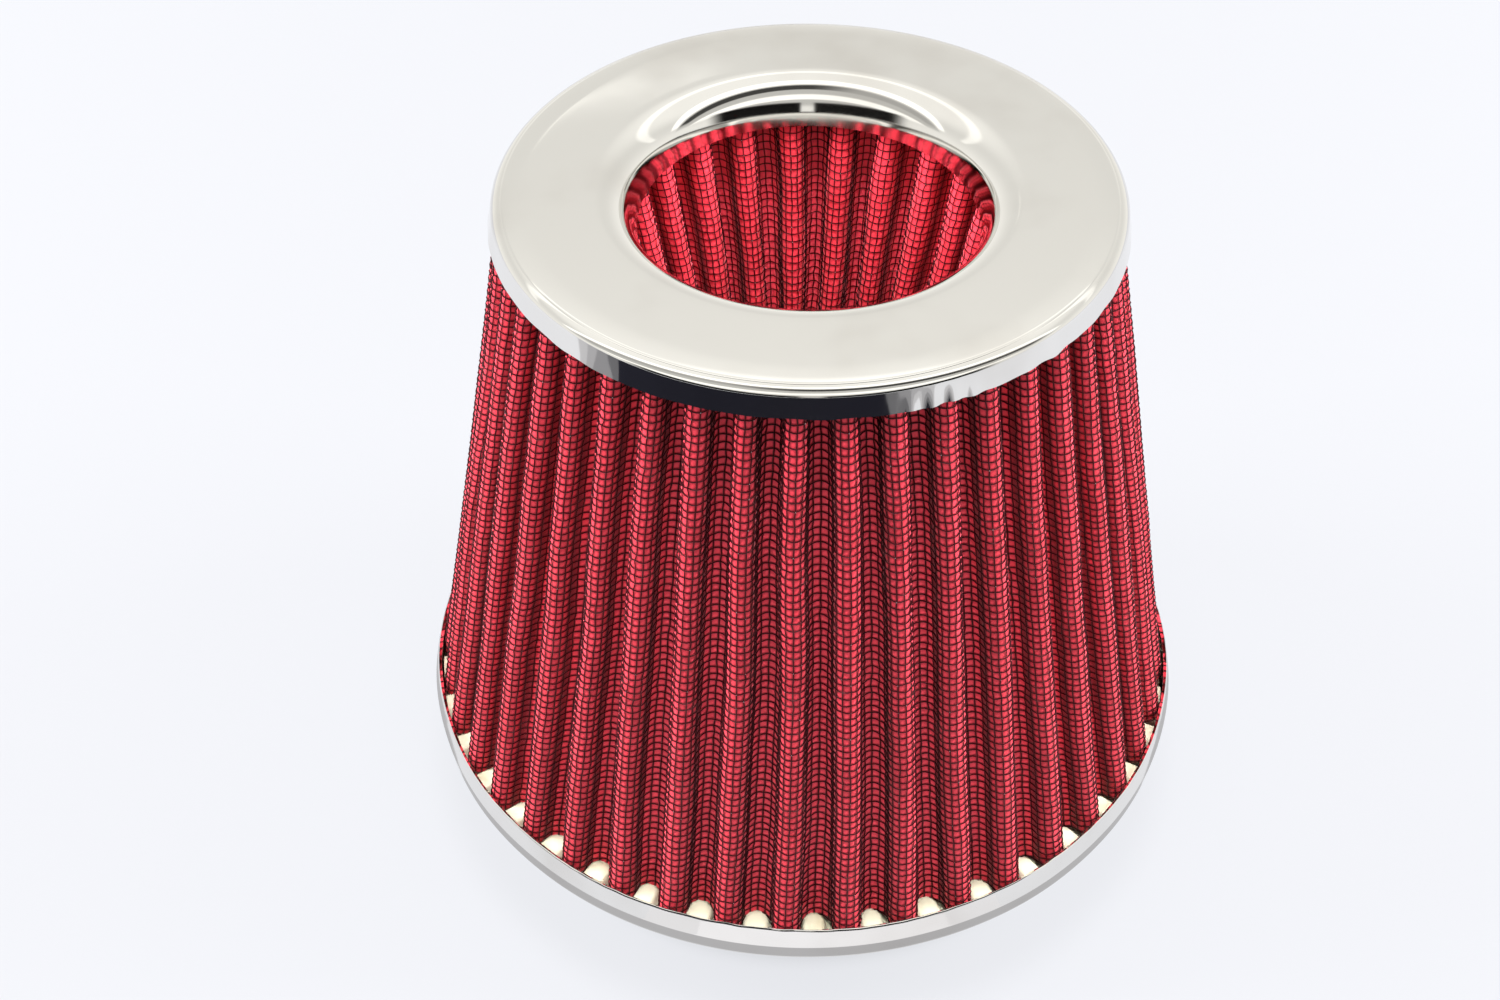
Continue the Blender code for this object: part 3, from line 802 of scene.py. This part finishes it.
    def screen(self, points: Array, normal: Array, first: int) -> Shape:
        """Woven wires over part of the face.

        Args:
            points: The lattice's points there.
            normal: Its normals there.
            first: The number of its first along-wire, which decides over and under.

        Returns:
            The wires.
        """
        rows, columns = (points.shape[0] + 1) // 2, (points.shape[1] + 1) // 2
        parity = np.add.outer(np.arange(rows), np.arange(columns) + first) % 2
        over = np.where(parity == 0, 1.0, -1.0)[:, :, None] * self.wire_radius
        nodes, node_normals = points[::2, ::2], normal[::2, ::2]
        along = (nodes - node_normals * over).transpose(1, 0, 2)
        across = points[::2].copy()
        across[:, ::2] += node_normals * over
        upright = self.tubes(along[:-1], node_normals.transpose(1, 0, 2)[:-1], self.wire_radius)
        return Shape.joined([upright, self.tubes(across, normal[::2], self.across_radius)])

    def gauze(self, points: Array, normal: Array, rng: Chance) -> Shape:
        """Gauze under part of the face, bulging through each cell."""
        lift = np.full(points.shape[:2], self.pillow_side)
        lift[::2, ::2] = self.pillow_corner
        lift[1::2, 1::2] = self.pillow
        lift += rng.uniform(-0.00004, 0.00004, lift.shape)
        shape = Shape.grid(points + normal * lift[:, :, None])
        rows, columns = points.shape[:2]
        up, round_ = np.meshgrid(np.arange(rows) / 2, np.arange(columns) / 2, indexing="ij")
        shape.flat = np.stack([round_, up], axis=-1).reshape(-1, 2)
        if self.facing < 0:
            shape.quads = shape.quads[:, ::-1]
        return shape

    def crests(self, points: Array, normal: Array, rng: Chance) -> Shape:
        """Worn spots on the highest crossings, each a low pyramid on top of its wire."""
        rows, wires = self.rows + 1, self.cells * self.pleats
        row, wire = np.meshgrid(np.arange(rows), np.arange(wires), indexing="ij")
        from_crown = np.abs(wire % self.cells - self.cells / 2)
        chosen = (row + wire) % 2 == 0
        chosen &= from_crown <= self.worn_reach
        chosen &= rng.uniform(size=chosen.shape) < self.worn_share
        row, wire = row[chosen], wire[chosen]
        centre, out = points[2 * row, 2 * wire], normal[2 * row, 2 * wire]
        along = unit(points[2 * row, (2 * wire + 1) % points.shape[1]] - centre)
        up = np.cross(out, along)
        size = rng.uniform(0.5, 1.0, (len(row), 1)) * self.wire_radius
        foot = centre + out * self.wire_radius * 1.55
        top = centre + out * self.wire_radius * 2.12
        corners = [foot + along * size * 1.5, foot + up * size, foot - along * size * 1.5, foot - up * size]
        points = np.stack([*corners, top], axis=1)
        start = np.arange(len(row))[:, None] * 5
        quads = [start + np.array([[side, (side + 1) % 4, 4, 4]]) for side in range(4)]
        return Shape(points.reshape(-1, 3), np.concatenate(quads))

    def build(self, gauze: Look) -> None:
        """Make the screen, the gauze and the worn spots, in sectors."""
        points, normal = self.lattice()
        rng = np.random.default_rng(self.seed + 1)
        per_sector = points.shape[1] // self.sectors
        for sector in range(self.sectors):
            first = sector * per_sector
            columns = np.arange(first, first + per_sector + 1) % points.shape[1]
            part, part_normal = points[:, columns], normal[:, columns]
            for kind, look, shape in (
                ("screen", Look.WIRE, self.screen(part, part_normal, first // 2)),
                ("gauze", gauze, self.gauze(part, part_normal, rng)),
            ):
                Piece(f"{self.name}_{kind}_{sector + 1}", look, (f"{self.name}_{kind}",)).add(shape)
        Piece(f"{self.name}_worn_crests", Look.CREST).add(self.crests(points, normal, rng))


# --- Pressed and cast pieces --------------------------------------------------------------------


@dataclass
class Cap:
    """Chrome cap: throat lip, flat, outer bead and a skirt crimped over the pleats."""

    lip_start: float = 0.0380  # radius where the flat turns into the lip
    lip: float = 0.0067  # its first radius
    lip_easy: float = 0.0158  # the slacker radius of its lower part
    lip_turns_deg: Pair = (64.0, 74.0)  # how far it has turned after each
    lip_end: float = 0.0018  # straight length to its lower edge
    slope_start: float = 0.0496  # radius where the flat starts to fall
    slope_end: float = 0.0541
    slope_drop: float = 0.0003
    groove: float = 0.00010
    bead: float = 0.0024
    bead_turns_deg: Pair = (14.0, 60.0)
    ledge_drop: float = 0.0017
    edge_radius: float = 0.0566
    edge_drop: float = 0.0056
    metal: float = 0.0008
    steps: int = 480
    seed: int = 5

    def outline(self, top: float) -> Outline:
        """Closed outline of the pressed sheet, for a cap whose flat is at that height."""
        first, second = (math.radians(turn) for turn in self.lip_turns_deg)
        centre = (self.lip_start, top - self.lip)
        first_deg, second_deg = (90 + turn for turn in self.lip_turns_deg)
        roll = arc(centre, self.lip, first_deg, 90, 26)
        slack = self.lip_easy - self.lip
        easy_centre = (centre[0] + slack * math.sin(first), centre[1] - slack * math.cos(first))
        easy = arc(easy_centre, self.lip_easy, second_deg, first_deg, 10)
        low = (easy[0][0] - self.lip_end * math.cos(second), easy[0][1] - self.lip_end * math.sin(second))
        path = dense([low, easy[0]], 0.0004) + easy[1:-1] + roll
        path += dense([path[-1], (self.slope_start, top)], 0.0015)[1:]
        share = np.linspace(0.1, 1.0, 10)
        run = self.slope_end - self.slope_start
        path += [(self.slope_start + run * part, top - self.slope_drop * part * part) for part in share]
        crease = (self.slope_end + 0.0001, top - self.slope_drop - self.groove)
        start = math.radians(self.bead_turns_deg[0])
        middle = (crease[0] + 0.0001 - self.bead * math.sin(start), crease[1] + 0.00004 - self.bead * math.cos(start))
        bead = arc(middle, self.bead, 90 - self.bead_turns_deg[0], 90 - self.bead_turns_deg[1], 16)
        ledge = (bead[-1][0] + 0.0001, top - self.ledge_drop)
        skirt = dense([ledge, (self.edge_radius, top - self.edge_drop)], 0.0002)
        path += [crease, *bead]
        return sheet(path + skirt, self.metal)

    def warp(self, top: float) -> Warp:
        """Dents, waves and an uneven lower edge, growing from the ledge down the skirt."""
        rng = np.random.default_rng(self.seed)

        def bend(radius: Array, height: Array, angle: Array) -> tuple[Array, Array]:
            """Push the skirt's points in and out, and its edge up and down."""
            down = np.clip((top - self.ledge_drop - height) / (self.edge_drop - self.ledge_drop), 0.0, 1.0)
            down = np.where(radius > self.slope_end - self.metal, down, 0.0)
            slow = ripple(rng, angle, (3, 9), 3) * 0.00010
            fine = ripple(rng, angle, (30, 70), 4) * 0.00003
            dents = patch(angle, -68.0, 11.0) * np.sin(angle * 95.0) * 0.00022
            dents = dents + patch(angle, -46.0, 9.0) * np.sin(angle * 60.0) * 0.00014
            edge = ripple(rng, angle, (18, 44), 5) * 0.00008
            edge = edge + patch(angle, -48.0, 30.0) * ripple(rng, angle, (24, 60), 4) * 0.00022
            return radius + down * (slow + fine + dents), height + down**2 * edge

        return bend

    def build(self) -> None:
        """Make the cap."""
        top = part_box("top_cap")[1][2]
        shape = turned(self.outline(top), self.steps, self.warp(top))
        Piece("pressed_cap", Look.CHROME, ("top_cap",), 50.0).add(shape)


@dataclass
class Pan:
    """Chrome pan with a creased wall and an uneven cut rim."""

    rim_lean: float = 0.0008
    crease_drop: float = 0.0043  # rim to crease
    wall_lean: float = 0.0003
    corner: float = 0.0030
    hole: float = 0.0450
    metal: float = 0.0008
    steps: int = 480
    seed: int = 11

    def build(self) -> None:
        """Make the pan."""
        low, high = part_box("base_pan")
        crease, rim, floor = high[0], high[2], low[2]
        path = [(crease - self.rim_lean - 0.0002, rim)]
        path += [(crease - self.rim_lean, rim - 0.0002), (crease - self.rim_lean * 0.5, rim - 0.0021)]
        path = dense(path, 0.0006)
        path += [(crease - 0.00006, rim - self.crease_drop + 0.0003), (crease, rim - self.crease_drop)]
        path += [(crease - 0.00005, rim - self.crease_drop - 0.0004)]
        centre = (crease - self.wall_lean - self.corner, floor + self.corner)
        path += arc(centre, self.corner, 0, -90, 12)
        path += dense([path[-1], (self.hole, floor)], 0.003)[1:]
        rng = np.random.default_rng(self.seed)

        def bend(radius: Array, height: Array, angle: Array) -> tuple[Array, Array]:
            """Roughen the cut rim and let the wall breathe a little."""
            up = np.clip((height - (rim - 0.0012)) / 0.0012, 0.0, 1.0)
            edge = ripple(rng, angle, (60, 150), 6) * 0.00007 + ripple(rng, angle, (4, 12), 3) * 0.00008
            wall = np.clip((height - floor) / self.corner, 0.0, 1.0) * ripple(rng, angle, (5, 16), 4) * 0.00005
            return radius + wall, height + up * edge

        shape = turned(sheet(path, self.metal), self.steps, bend)
        Piece("pressed_pan", Look.CHROME, ("base_pan",), 50.0).add(shape)


PINHOLE = 0.0002  # radius at which a disc's surface ends, short of the axis


@dataclass
class PottingRings:
    """The cast polyurethane: a tongue in each valley over the pan, a ring in the cap, a disc in the cup."""

    pleats: int = 42
    first_valley_deg: float = 270.5
    tongue_width: float = 0.0047
    tongue_end: float = 0.0701  # radius of its round inner end
    tongue_edge: float = 0.0007
    tongue_height: float = 0.0021
    steps_per_pleat: int = 28
    rings: int = 40
    bed: float = 0.066  # radius inside which the ring is level
    seed: int = 3

    def pan_ring(self) -> Shape:
        """Ring in the pan that swells up between the pleats' feet."""
        low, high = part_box("pan_potting")
        outer = high[0] - 0.0001
        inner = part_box("neck")[1][0] + 0.0006
        count = self.pleats * self.steps_per_pleat
        angle = np.arange(count) * math.tau / count
        radii = np.linspace(inner, outer, self.rings)[:, None]
        pitch = math.tau / self.pleats
        turn = angle - math.radians(self.first_valley_deg) + pitch / 2
        offset = turn % pitch - pitch / 2
        rng = np.random.default_rng(self.seed)
        which = (turn // pitch).astype(int) % self.pleats
        wide = (self.tongue_width / 2 * rng.uniform(0.92, 1.08, self.pleats))[which]
        reach = (self.tongue_end + rng.uniform(-0.0003, 0.0003, self.pleats))[which]
        away = np.hypot(radii * offset, np.clip(reach + wide - radii, 0.0, None))
        share = smooth(np.clip((wide - away) / self.tongue_edge + 0.5, 0.0, 1.0))
        crest = high[2] + 0.0003 - 0.0003 * (away / wide) ** 2
        height = np.where(radii > self.bed, crest - (1.0 - share) * self.tongue_height, high[2] - 0.001)
        top = polar(radii, angle, height)
        under = top[[-1, 0]].copy()
        under[:, :, 2] = low[2]
        return Shape.grid(np.concatenate([top, under]), wrap_rows=True, wrap_columns=True).outward()

    def cap_ring(self) -> Shape:
        """Ring under the cap, with a rounded lower edge."""
        low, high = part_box("cap_potting")
        outer, top, under = high[0], high[2], low[2] + 0.0003
        inner, step, back = 0.0334, 0.0430, 0.0061  # radii of the bore and the step, and of the lip's back
        path = [(outer, top), (outer, top - 0.0012), (outer - 0.0004, top - 0.0016)]
        path += [(step + 0.0006, top - 0.0017), (step, top - 0.0022), (step - 0.0004, under)]
        path += [(inner + 0.0003, under - 0.0001), (inner, under + 0.0003)]
        return turned(path + arc((inner + back, top - back - 0.0001), back, 180, 90, 8), 180)

    def cup_disc(self) -> Shape:
        """Disc in the end cup, dished where it met the pack."""
        low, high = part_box("cup_potting")
        rim, top, under = high[0], high[2], low[2]
        path = [(PINHOLE, top - 0.0004), (rim * 0.4, top - 0.0003), (rim * 0.62, top)]
        return turned(path + [(rim - 0.0004, top), (rim, top - 0.0004), (rim, under), (PINHOLE, under)], 120)

    def build(self) -> None:
        """Make the three castings."""
        castings = (("pan", self.pan_ring(), 0.0), ("cap", self.cap_ring(), 50.0), ("cup", self.cup_disc(), 50.0))
        for place, shape, sharp_deg in castings:
            Piece(f"{place}_potting_cast", Look.POTTING, (f"{place}_potting",), sharp_deg).add(shape)


@dataclass
class EndCup:
    """Steel cup that closes the inner cone's lower end, with a rolled rim and a pressed ring."""

    metal: float = 0.0008
    corner: float = 0.0015
    wall_lean: float = 0.0010
    bead: float = 0.0006

    def build(self) -> None:
        """Make the cup."""
        low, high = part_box("end_cup")
        rim, bottom = high[0], low[2]
        wall = rim - self.wall_lean
        path = [(rim - 0.0003, high[2]), (rim, high[2] - 0.0003)]
        path += dense([(rim, high[2] - 0.0004), (wall, bottom + self.corner)], 0.001)
        path += arc((wall - self.corner, bottom + self.corner), self.corner, 0, -90, 10)[1:]
        ring = 0.62 * wall
        path += dense([path[-1], (ring + 0.0030, bottom)], 0.002)[1:]
        path += [(ring + 0.0020, bottom + 0.5 * self.bead), (ring, bottom + self.bead)]
        path += [(0.35 * ring, bottom + self.bead), (PINHOLE, bottom + self.bead)]
        Piece("closing_cup", Look.CHROME, ("end_cup",), 50.0).add(turned(sheet(path, self.metal), 180))


@dataclass
class Neck:
    """Rubber neck: rounded flanges that grip the pan, ribs in the bore and a bead at its end."""

    bore: float = 0.0380
    wall: float = 0.0420
    flange: float = 0.0500
    groove: float = 0.0447
    flange_edge: float = 0.0009
    rib: float = 0.0002
    ribs: int = 4
    rib_pitch: float = 0.0030
    steps: int = 240

    def build(self) -> None:
        """Make the neck."""
        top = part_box("neck")[1][2]
        pan_low, pan_floor, under = 0.0200, 0.0208, 0.0172
        round_ = self.flange_edge
        path = arc((self.flange - round_, top - round_), round_, 90, 0, 6)
        path += [(self.flange, pan_floor + 0.0005), (self.flange - 0.0002, pan_floor + 0.0003)]
        path += [(self.groove, pan_floor + 0.0003), (self.groove, pan_low - 0.0003)]
        path += [(self.flange - 0.0002, pan_low - 0.0003), (self.flange, pan_low - 0.0005)]
        path += arc((self.flange - round_, under + round_), round_, 0, -90, 6)
        path += arc((self.wall + 0.0008, under - 0.0008), 0.0008, 90, 180, 5)
        path += [(self.wall, 0.0034), (self.wall + 0.0002, 0.0030)]
        path += arc((self.wall + 0.0006, 0.0022), 0.0007, 70, -40, 6)
        path += arc((self.wall, 0.0009), 0.0009, -20, -90, 5)
        path += [(self.bore + 0.0011, 0.0), (self.bore + 0.0004, 0.0002), (self.bore, 0.0010)]
        for index in range(self.ribs):
            middle = 0.0045 + index * self.rib_pitch
            path += [(self.bore, middle - 0.0006), (self.bore + self.rib, middle - 0.0003)]
            path += [(self.bore + self.rib, middle + 0.0003), (self.bore, middle + 0.0006)]
        path += [(self.bore, top - 0.0005), (self.bore + 0.0005, top)]
        Piece("rubber_neck", Look.RUBBER, ("neck",), 40.0).add(turned(path, self.steps))


@dataclass
class Clamp:
    """Worm-drive clamp: slotted band, arched housing and the thread of its screw."""

    width: float = 0.0110
    metal: float = 0.0007
    band: float = 0.04265
    tail: float = 0.04365
    rise_deg: float = 16.0
    start_deg: float = 42.0
    tail_deg: float = 34.0
    slot_pitch: float = 0.0028
    slot_width: float = 0.0013
    slot_length: float = 0.0072
    slot_lean: float = 0.0007
    slot_depth: float = 0.00035
    housing_deg: float = 60.0
    housing_length: float = 0.0140
    housing_metal: float = 0.0009
    arch: float = 0.0048
    screw: float = 0.0485
    thread: float = 0.0042
    thread_pitch: float = 0.0028
    thread_height: float = 0.00022
    thread_turns: float = 3.6

    def middle(self) -> float:
        """Height of the band's middle, from its CAD solid."""
        low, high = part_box("clamp_band")
        return (low[2] + high[2]) / 2

    def band_shape(self) -> Shape:
        """Strip round the neck with worm slots pressed along its tail half."""
        sweep = 360.0 + self.tail_deg
        turn = np.radians(np.linspace(0.0, sweep, 1200))
        climb = np.clip((turn - math.radians(360.0 - self.rise_deg)) / math.radians(self.rise_deg), 0.0, 1.0)
        radius = self.band + (self.tail - self.band) * smooth(climb)
        half = self.width / 2
        face = np.concatenate([[-half, -half + 0.0003], np.linspace(-half + 0.0006, half - 0.0006, 34)])
        face = np.concatenate([face, [half - 0.0003, half]])
        thick = np.full(len(face), self.metal / 2)
        thick[[0, -1]] -= 0.00022
        thick[[1, -2]] -= 0.00006
        length = turn * self.band
        across = (length[:, None] + face[None, :] * self.slot_lean / half) % self.slot_pitch
        inside = np.abs(across - self.slot_pitch / 2) - self.slot_width / 2
        ends = np.abs(face)[None, :] - self.slot_length / 2
        pressed = np.clip(0.5 - np.maximum(inside, ends) / 0.0003, 0.0, 1.0)
        reach = (turn > math.radians(200.0)) | (turn < math.radians(8.0))
        pressed = pressed * reach[:, None] * self.slot_depth
        outer = radius[:, None] + thick[None, :] - pressed
        inner = radius[:, None] - thick[None, ::-1]
        section = np.concatenate([outer, inner[:, ::-1]], axis=1)
        height = np.concatenate([face, face[::-1]]) + self.middle()
        points = polar(section, turn[:, None] + math.radians(self.start_deg), height)
        return Shape.grid(points, wrap_columns=True).capped(section.shape[1], len(turn))

    def placed(self, shape: Shape) -> Shape:
        """A shape made in the clamp's own frame, turned and lifted to its place."""
        turn = np.array(Matrix.Rotation(math.radians(self.housing_deg), 3, "Z"))
        return Shape(shape.points @ turn.T + np.array([0.0, 0.0, self.middle()]), shape.quads)

    def housing_shape(self) -> Shape:
        """Arched housing over band and screw, its ends turned up and its crown ribbed."""
        half = self.width / 2 + 0.0003
        shoulder = self.tail + self.metal / 2 + 0.0003
        side = dense([(half, self.band), (half, shoulder - 0.0004), (half - 0.0004, shoulder)], 0.0006)
        inside = side + arc((0.0, self.screw), self.arch, 0, 180, 24) + [(-x, y) for x, y in reversed(side)]
        along = np.linspace(-self.housing_length / 2, self.housing_length / 2, 29)
        away = np.abs(along) / (self.housing_length / 2)
        flare = 0.0003 * np.clip((away - 0.86) / 0.14, 0.0, 1.0) ** 2
        rib = 0.0002 * np.clip(1.0 - (np.abs(away - 0.45) / 0.16) ** 2, 0.0, 1.0)
        section = np.array(sheet(inside, -self.housing_metal))
        out = unit(section - np.array([0.0, self.screw]))
        out[section[:, 1] <= self.screw] = 0.0
        grid = section + (flare + rib)[:, None, None] * out
        points = np.stack([grid[:, :, 1], np.broadcast_to(along[:, None], grid.shape[:2]), grid[:, :, 0]], axis=-1)
        return self.placed(Shape.grid(points, wrap_columns=True).capped(len(section), len(along)))

    def thread_shape(self) -> Shape:
        """Raised helix along the worm."""
        steps = int(self.thread_turns * 40)
        t = np.linspace(0.0, 1.0, steps)
        angle = t * self.thread_turns * math.tau
        along = (t - 0.5) * self.thread_turns * self.thread_pitch
        ease = np.clip(np.minimum(t, 1.0 - t) * self.thread_turns * 3.0, 0.05, 1.0)
        section = []
        for width, height in ((0.00075, -0.0002), (0.00035, 1.0), (-0.00035, 1.0), (-0.00075, -0.0002)):
            radius = self.thread + (height * self.thread_height * ease if height > 0 else np.full(steps, height))
            helix = [self.screw + radius * np.cos(angle), along + width, radius * np.sin(angle)]
            section.append(np.stack(helix, axis=-1))
        return self.placed(Shape.grid(np.stack(section, axis=1), wrap_columns=True).capped(4, steps))

    def build(self) -> None:
        """Make the band and the housing, which the clamp's body carries, and the screw's thread."""
        Piece("slotted_band", Look.ZINC, ("clamp_band",), 35.0, Body.CLAMP).add(self.band_shape())
        Piece("arched_housing", Look.ZINC, ("clamp_housing",), 35.0, Body.CLAMP).add(self.housing_shape())
        Piece("worm_thread", Look.ZINC, (), 35.0, Body.SCREW).add(self.thread_shape())


def dress_kept_solids() -> None:
    """Give the CAD solids that stay in view their finishes."""
    kept = {
        "outer_back_screen": Look.BACK,
        "inner_back_screen": Look.BACK,
        "outer_seam_strip": Look.STRIP,
        "inner_seam_strip": Look.STRIP,
        "clamp_screw": Look.ZINC,
    }
    for name, look in kept.items():
        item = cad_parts[name]
        item.data.materials.clear()
        item.data.materials.append(material(look))
        LOG.info("%s dressed", name)


# --- Studio -------------------------------------------------------------------------------------


@dataclass
class Studio:
    """Pale floor, a lit ceiling, a dark room in front for the chrome to reflect, and the camera."""

    camera_place: Triple = (-0.01079, -0.3067, 0.3562)
    camera_tilt_deg: float = 46.75
    camera_roll_deg: float = -0.4
    lens: float = 50.55
    floor_size: float = 6.0
    floor_colour: Triple = (0.035, 0.035, 0.037)
    backdrop: Triple = (0.94, 0.93, 0.98)
    card_colour: Triple = (0.004, 0.004, 0.006)

    def light(self, name: str, place: Triple, size: Pair, power: float) -> None:
        """Add an area light that looks at the object.

        Args:
            name: The light's name.
            place: Where it hangs.
            size: Its two sides.
            power: Its strength in watts.
        """
        lamp = bpy.data.lights.new(name, "AREA")
        lamp.shape = "RECTANGLE"
        lamp.size, lamp.size_y = size
        lamp.energy = power
        item = added(name, lamp)
        item.location = place
        toward = Vector((0.0, 0.0, 0.08)) - Vector(place)
        item.rotation_euler = toward.to_track_quat("-Z", "Y").to_euler()
        item.visible_glossy = False

    def matt(self, shader: Shader, colour: Triple, glow: Triple, strength: Value) -> Material:
        """Make that shader's material a dull one that gives off some light of its own."""
        shader.dress(Base_Color=colour, Roughness=0.9, Specular_IOR_Level=0.0)
        shader.dress(Emission_Color=glow, Emission_Strength=strength)
        return shader.material

    def stage_piece(self, name: str, points: Array, finish: Material) -> bpy.types.Object:
        """Add a stage surface over a grid of points."""
        mesh = Shape.grid(points).mesh(name)
        mesh.materials.append(finish)
        item = added(name, mesh)
        item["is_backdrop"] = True
        return item

    def card(self, name: str, azimuth: Pair, radii: Pair, height: float, glow: float = 0.0) -> None:
        """Add a flat curved card over the floor that only reflections see.

        Args:
            name: The card's name.
            azimuth: Its first and last direction round the object, in degrees.
            radii: How far its edges are from the Z axis.
            height: How high it lies.
            glow: Light that it gives off; a dark card has none.
        """
        points = polar(np.array(radii)[:, None], np.radians(np.linspace(*azimuth, 40)), height)
        finish = self.matt(Shader(name), self.card_colour, (1.0, 0.995, 1.02), glow)
        item = self.stage_piece(name, points, finish)
        for ray in ("camera", "diffuse", "shadow", "transmission", "volume_scatter"):
            setattr(item, f"visible_{ray}", False)

    def cards(self) -> None:
        """Lay out what the pan's wall reflects: the shade under it, the lit floor and the dark in front."""
        near, far = ((0.097, 0.239), 0.001), ((0.24, 1.60), 0.002)
        self.card("shade_card", (-180.0, 180.0), (0.079, 0.096), 0.001, 0.52)
        self.card("near_card", (-110.0, -64.0), *near, 1.05)
        self.card("near_card_left", (-120.0, -110.0), *near, 0.93)
        self.card("near_card_right", (-64.0, -54.0), *near, 0.93)
        self.card("floor_card", (-152.0, -68.0), *far)
        for step in range(4):
            left, right, glow = -156.0 - 4.0 * step, -68.0 + 4.0 * step, 0.16 * (step + 1)
            self.card(f"floor_card_left_{step}", (left, left + 4.0), *far, glow)
            self.card(f"floor_card_right_{step}", (right, right + 4.0), *far, glow)

    def sky(self) -> None:
        """Light from all round: a ceiling with a lamp, pale walls and a dark room low in front."""
        world = bpy.data.worlds.new("studio")
        world.use_nodes = True
        maker = NodeMaker(world.node_tree)
        across, ahead, rise = maker.axes(maker.place("Generated"))
        above = rise.larger(0.05)
        overhead, sideways = ahead / above, across / above
        level = (across * across + ahead * ahead) ** 0.5
        walls = rise.ramp(0.05, 0.50, 1.05, 0.88) + rise.ramp(0.50, 0.80, 0.0, 0.24)
        window = overhead.band(-1.45, 0.35, 0.50, 0.75)
        in_front = overhead.ramp(-0.30, -0.20, 1.0, 0.0) * rise.ramp(0.20, 0.30)
        high = rise.ramp(0.30, 0.40)
        ceiling = walls + in_front * (window + 0.65 - walls)
        panel = overhead.band(0.70, 0.05, 0.14, 0.35) * high
        lamp = overhead.band(-0.09, 0.09, 0.13, 0.6) * high
        beam = overhead.band(-0.43, 0.12, 0.18, 0.9) * sideways.ramp(-0.40, 0.0, 0.25, 1.0) * high
        room = ((ahead * -1.0) / level).ramp(0.42, 0.62) * rise.ramp(0.30, 0.36, 1.0, 0.0)
        room = room * (across.absolute() / level).ramp(0.05, 0.09).larger(rise.ramp(0.08, 0.13, 1.0, 0.0))
        streak = (overhead - sideways * 0.29).band(1.623, 0.0, 0.030, 0.42)
        streak = streak * sideways.ramp(-0.26, -0.17) * sideways.ramp(-0.06, 0.0, 1.0, 0.0)
        strength = (ceiling + lamp + panel + streak) * (1.0 - beam) * (1.0 - room * 0.99)
        seen = maker.number("ShaderNodeLightPath", "Is Camera Ray")
        light = maker.node("ShaderNodeBackground", None, {"Color": (1.0, 0.985, 0.935), "Strength": strength})
        backdrop = maker.node("ShaderNodeBackground", None, {"Color": self.backdrop, "Strength": 1.0})
        sockets = {0: seen, 1: light.outputs[0], 2: backdrop.outputs[0]}
        mixed = maker.node("ShaderNodeMixShader", None, sockets)
        maker.node("ShaderNodeOutputWorld", None, {"Surface": mixed.outputs[0]})
        bpy.context.scene.world = world

    def floor_material(self) -> Material:
        """Pale floor that glows more with distance: its dim glow under the pan is painted shade, and only a faint real
        shade falls on its dark base colour.
        """
        shader = Shader("pale_floor")
        across, ahead, _ = shader.axes(shader.place())
        reach = (across * across + ahead * ahead) ** 0.5
        # Painted shade: the glow drops under the pan.
        strength = reach.ramp(0.048, 0.066, 0.10, 0.78) + reach.ramp(0.10, 0.60, 0.0, 0.05)
        return self.matt(shader, self.floor_colour, (0.97, 0.985, 1.03), strength)

    def build(self) -> None:
        """Set up everything round the object."""
        half = self.floor_size / 2
        corner = np.array([[[-half, -half, 0.0], [half, -half, 0.0]], [[-half, half, 0.0], [half, half, 0.0]]])
        self.stage_piece("studio_floor", corner, self.floor_material())
        self.sky()
        self.light("key", (0.0, -0.40, 0.75), (0.5, 0.4), 0.5)
        self.light("top", (0.0, -0.06, 0.80), (0.3, 0.3), 12.0)
        for name, side in (("left", -0.75), ("right", 0.75)):
            self.light(name, (side, 0.02, 0.48), (0.4, 0.5), 19.0)
        self.cards()
        self.aim_camera()
        settings = bpy.context.scene.view_settings
        settings.view_transform = "Standard"
        settings.look = "None"

    def aim_camera(self) -> None:
        """Add the camera and make it the scene's."""
        camera = bpy.data.cameras.new("camera")
        camera.lens = self.lens
        camera.sensor_width = 36.0
        camera.clip_start = 0.01
        item = added("camera", camera)
        tilt = Euler((math.radians(self.camera_tilt_deg), 0.0, 0.0)).to_matrix().to_4x4()
        roll = Matrix.Rotation(math.radians(self.camera_roll_deg), 4, "Z")
        item.matrix_world = Matrix.Translation(self.camera_place) @ tilt @ roll
        bpy.context.scene.camera = item


def cones() -> tuple[PleatedCone, PleatedCone]:
    """The outer cone and the inverted one in the throat, from their CAD boxes."""
    low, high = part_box("outer_screen")
    outer = PleatedCone("outer", low[2] - 0.0012, high[2] - 0.0003)
    low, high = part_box("inner_screen")
    inner = PleatedCone(
        "inner", low[2], high[2], 22, 85.8, (0.0186, 0.0318), -1, (0.62, 0.54), (0.30, 0.41),
        cells=13, rows=46, sectors=2, seed=33, wire_radius=0.00010, across_radius=0.00010,
    )
    return outer, inner


def main() -> None:
    """Build the filter's looks and the studio round it."""
    logging.basicConfig(level=logging.INFO, format="%(name)s: %(message)s")
    Studio().build()
    for cone, gauze in zip(cones(), (Look.OUTER_GAUZE, Look.INNER_GAUZE)):
        cone.build(gauze)
    for part in (Cap(), Pan(), PottingRings(), EndCup(), Neck(), Clamp()):
        part.build()
    dress_kept_solids()
    boxes = {"cad": CAD_BOX, "visual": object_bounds()}
    {key: [list(corner) for corner in value] for key, value in boxes.items()}


if __name__ == "__main__":
    main()
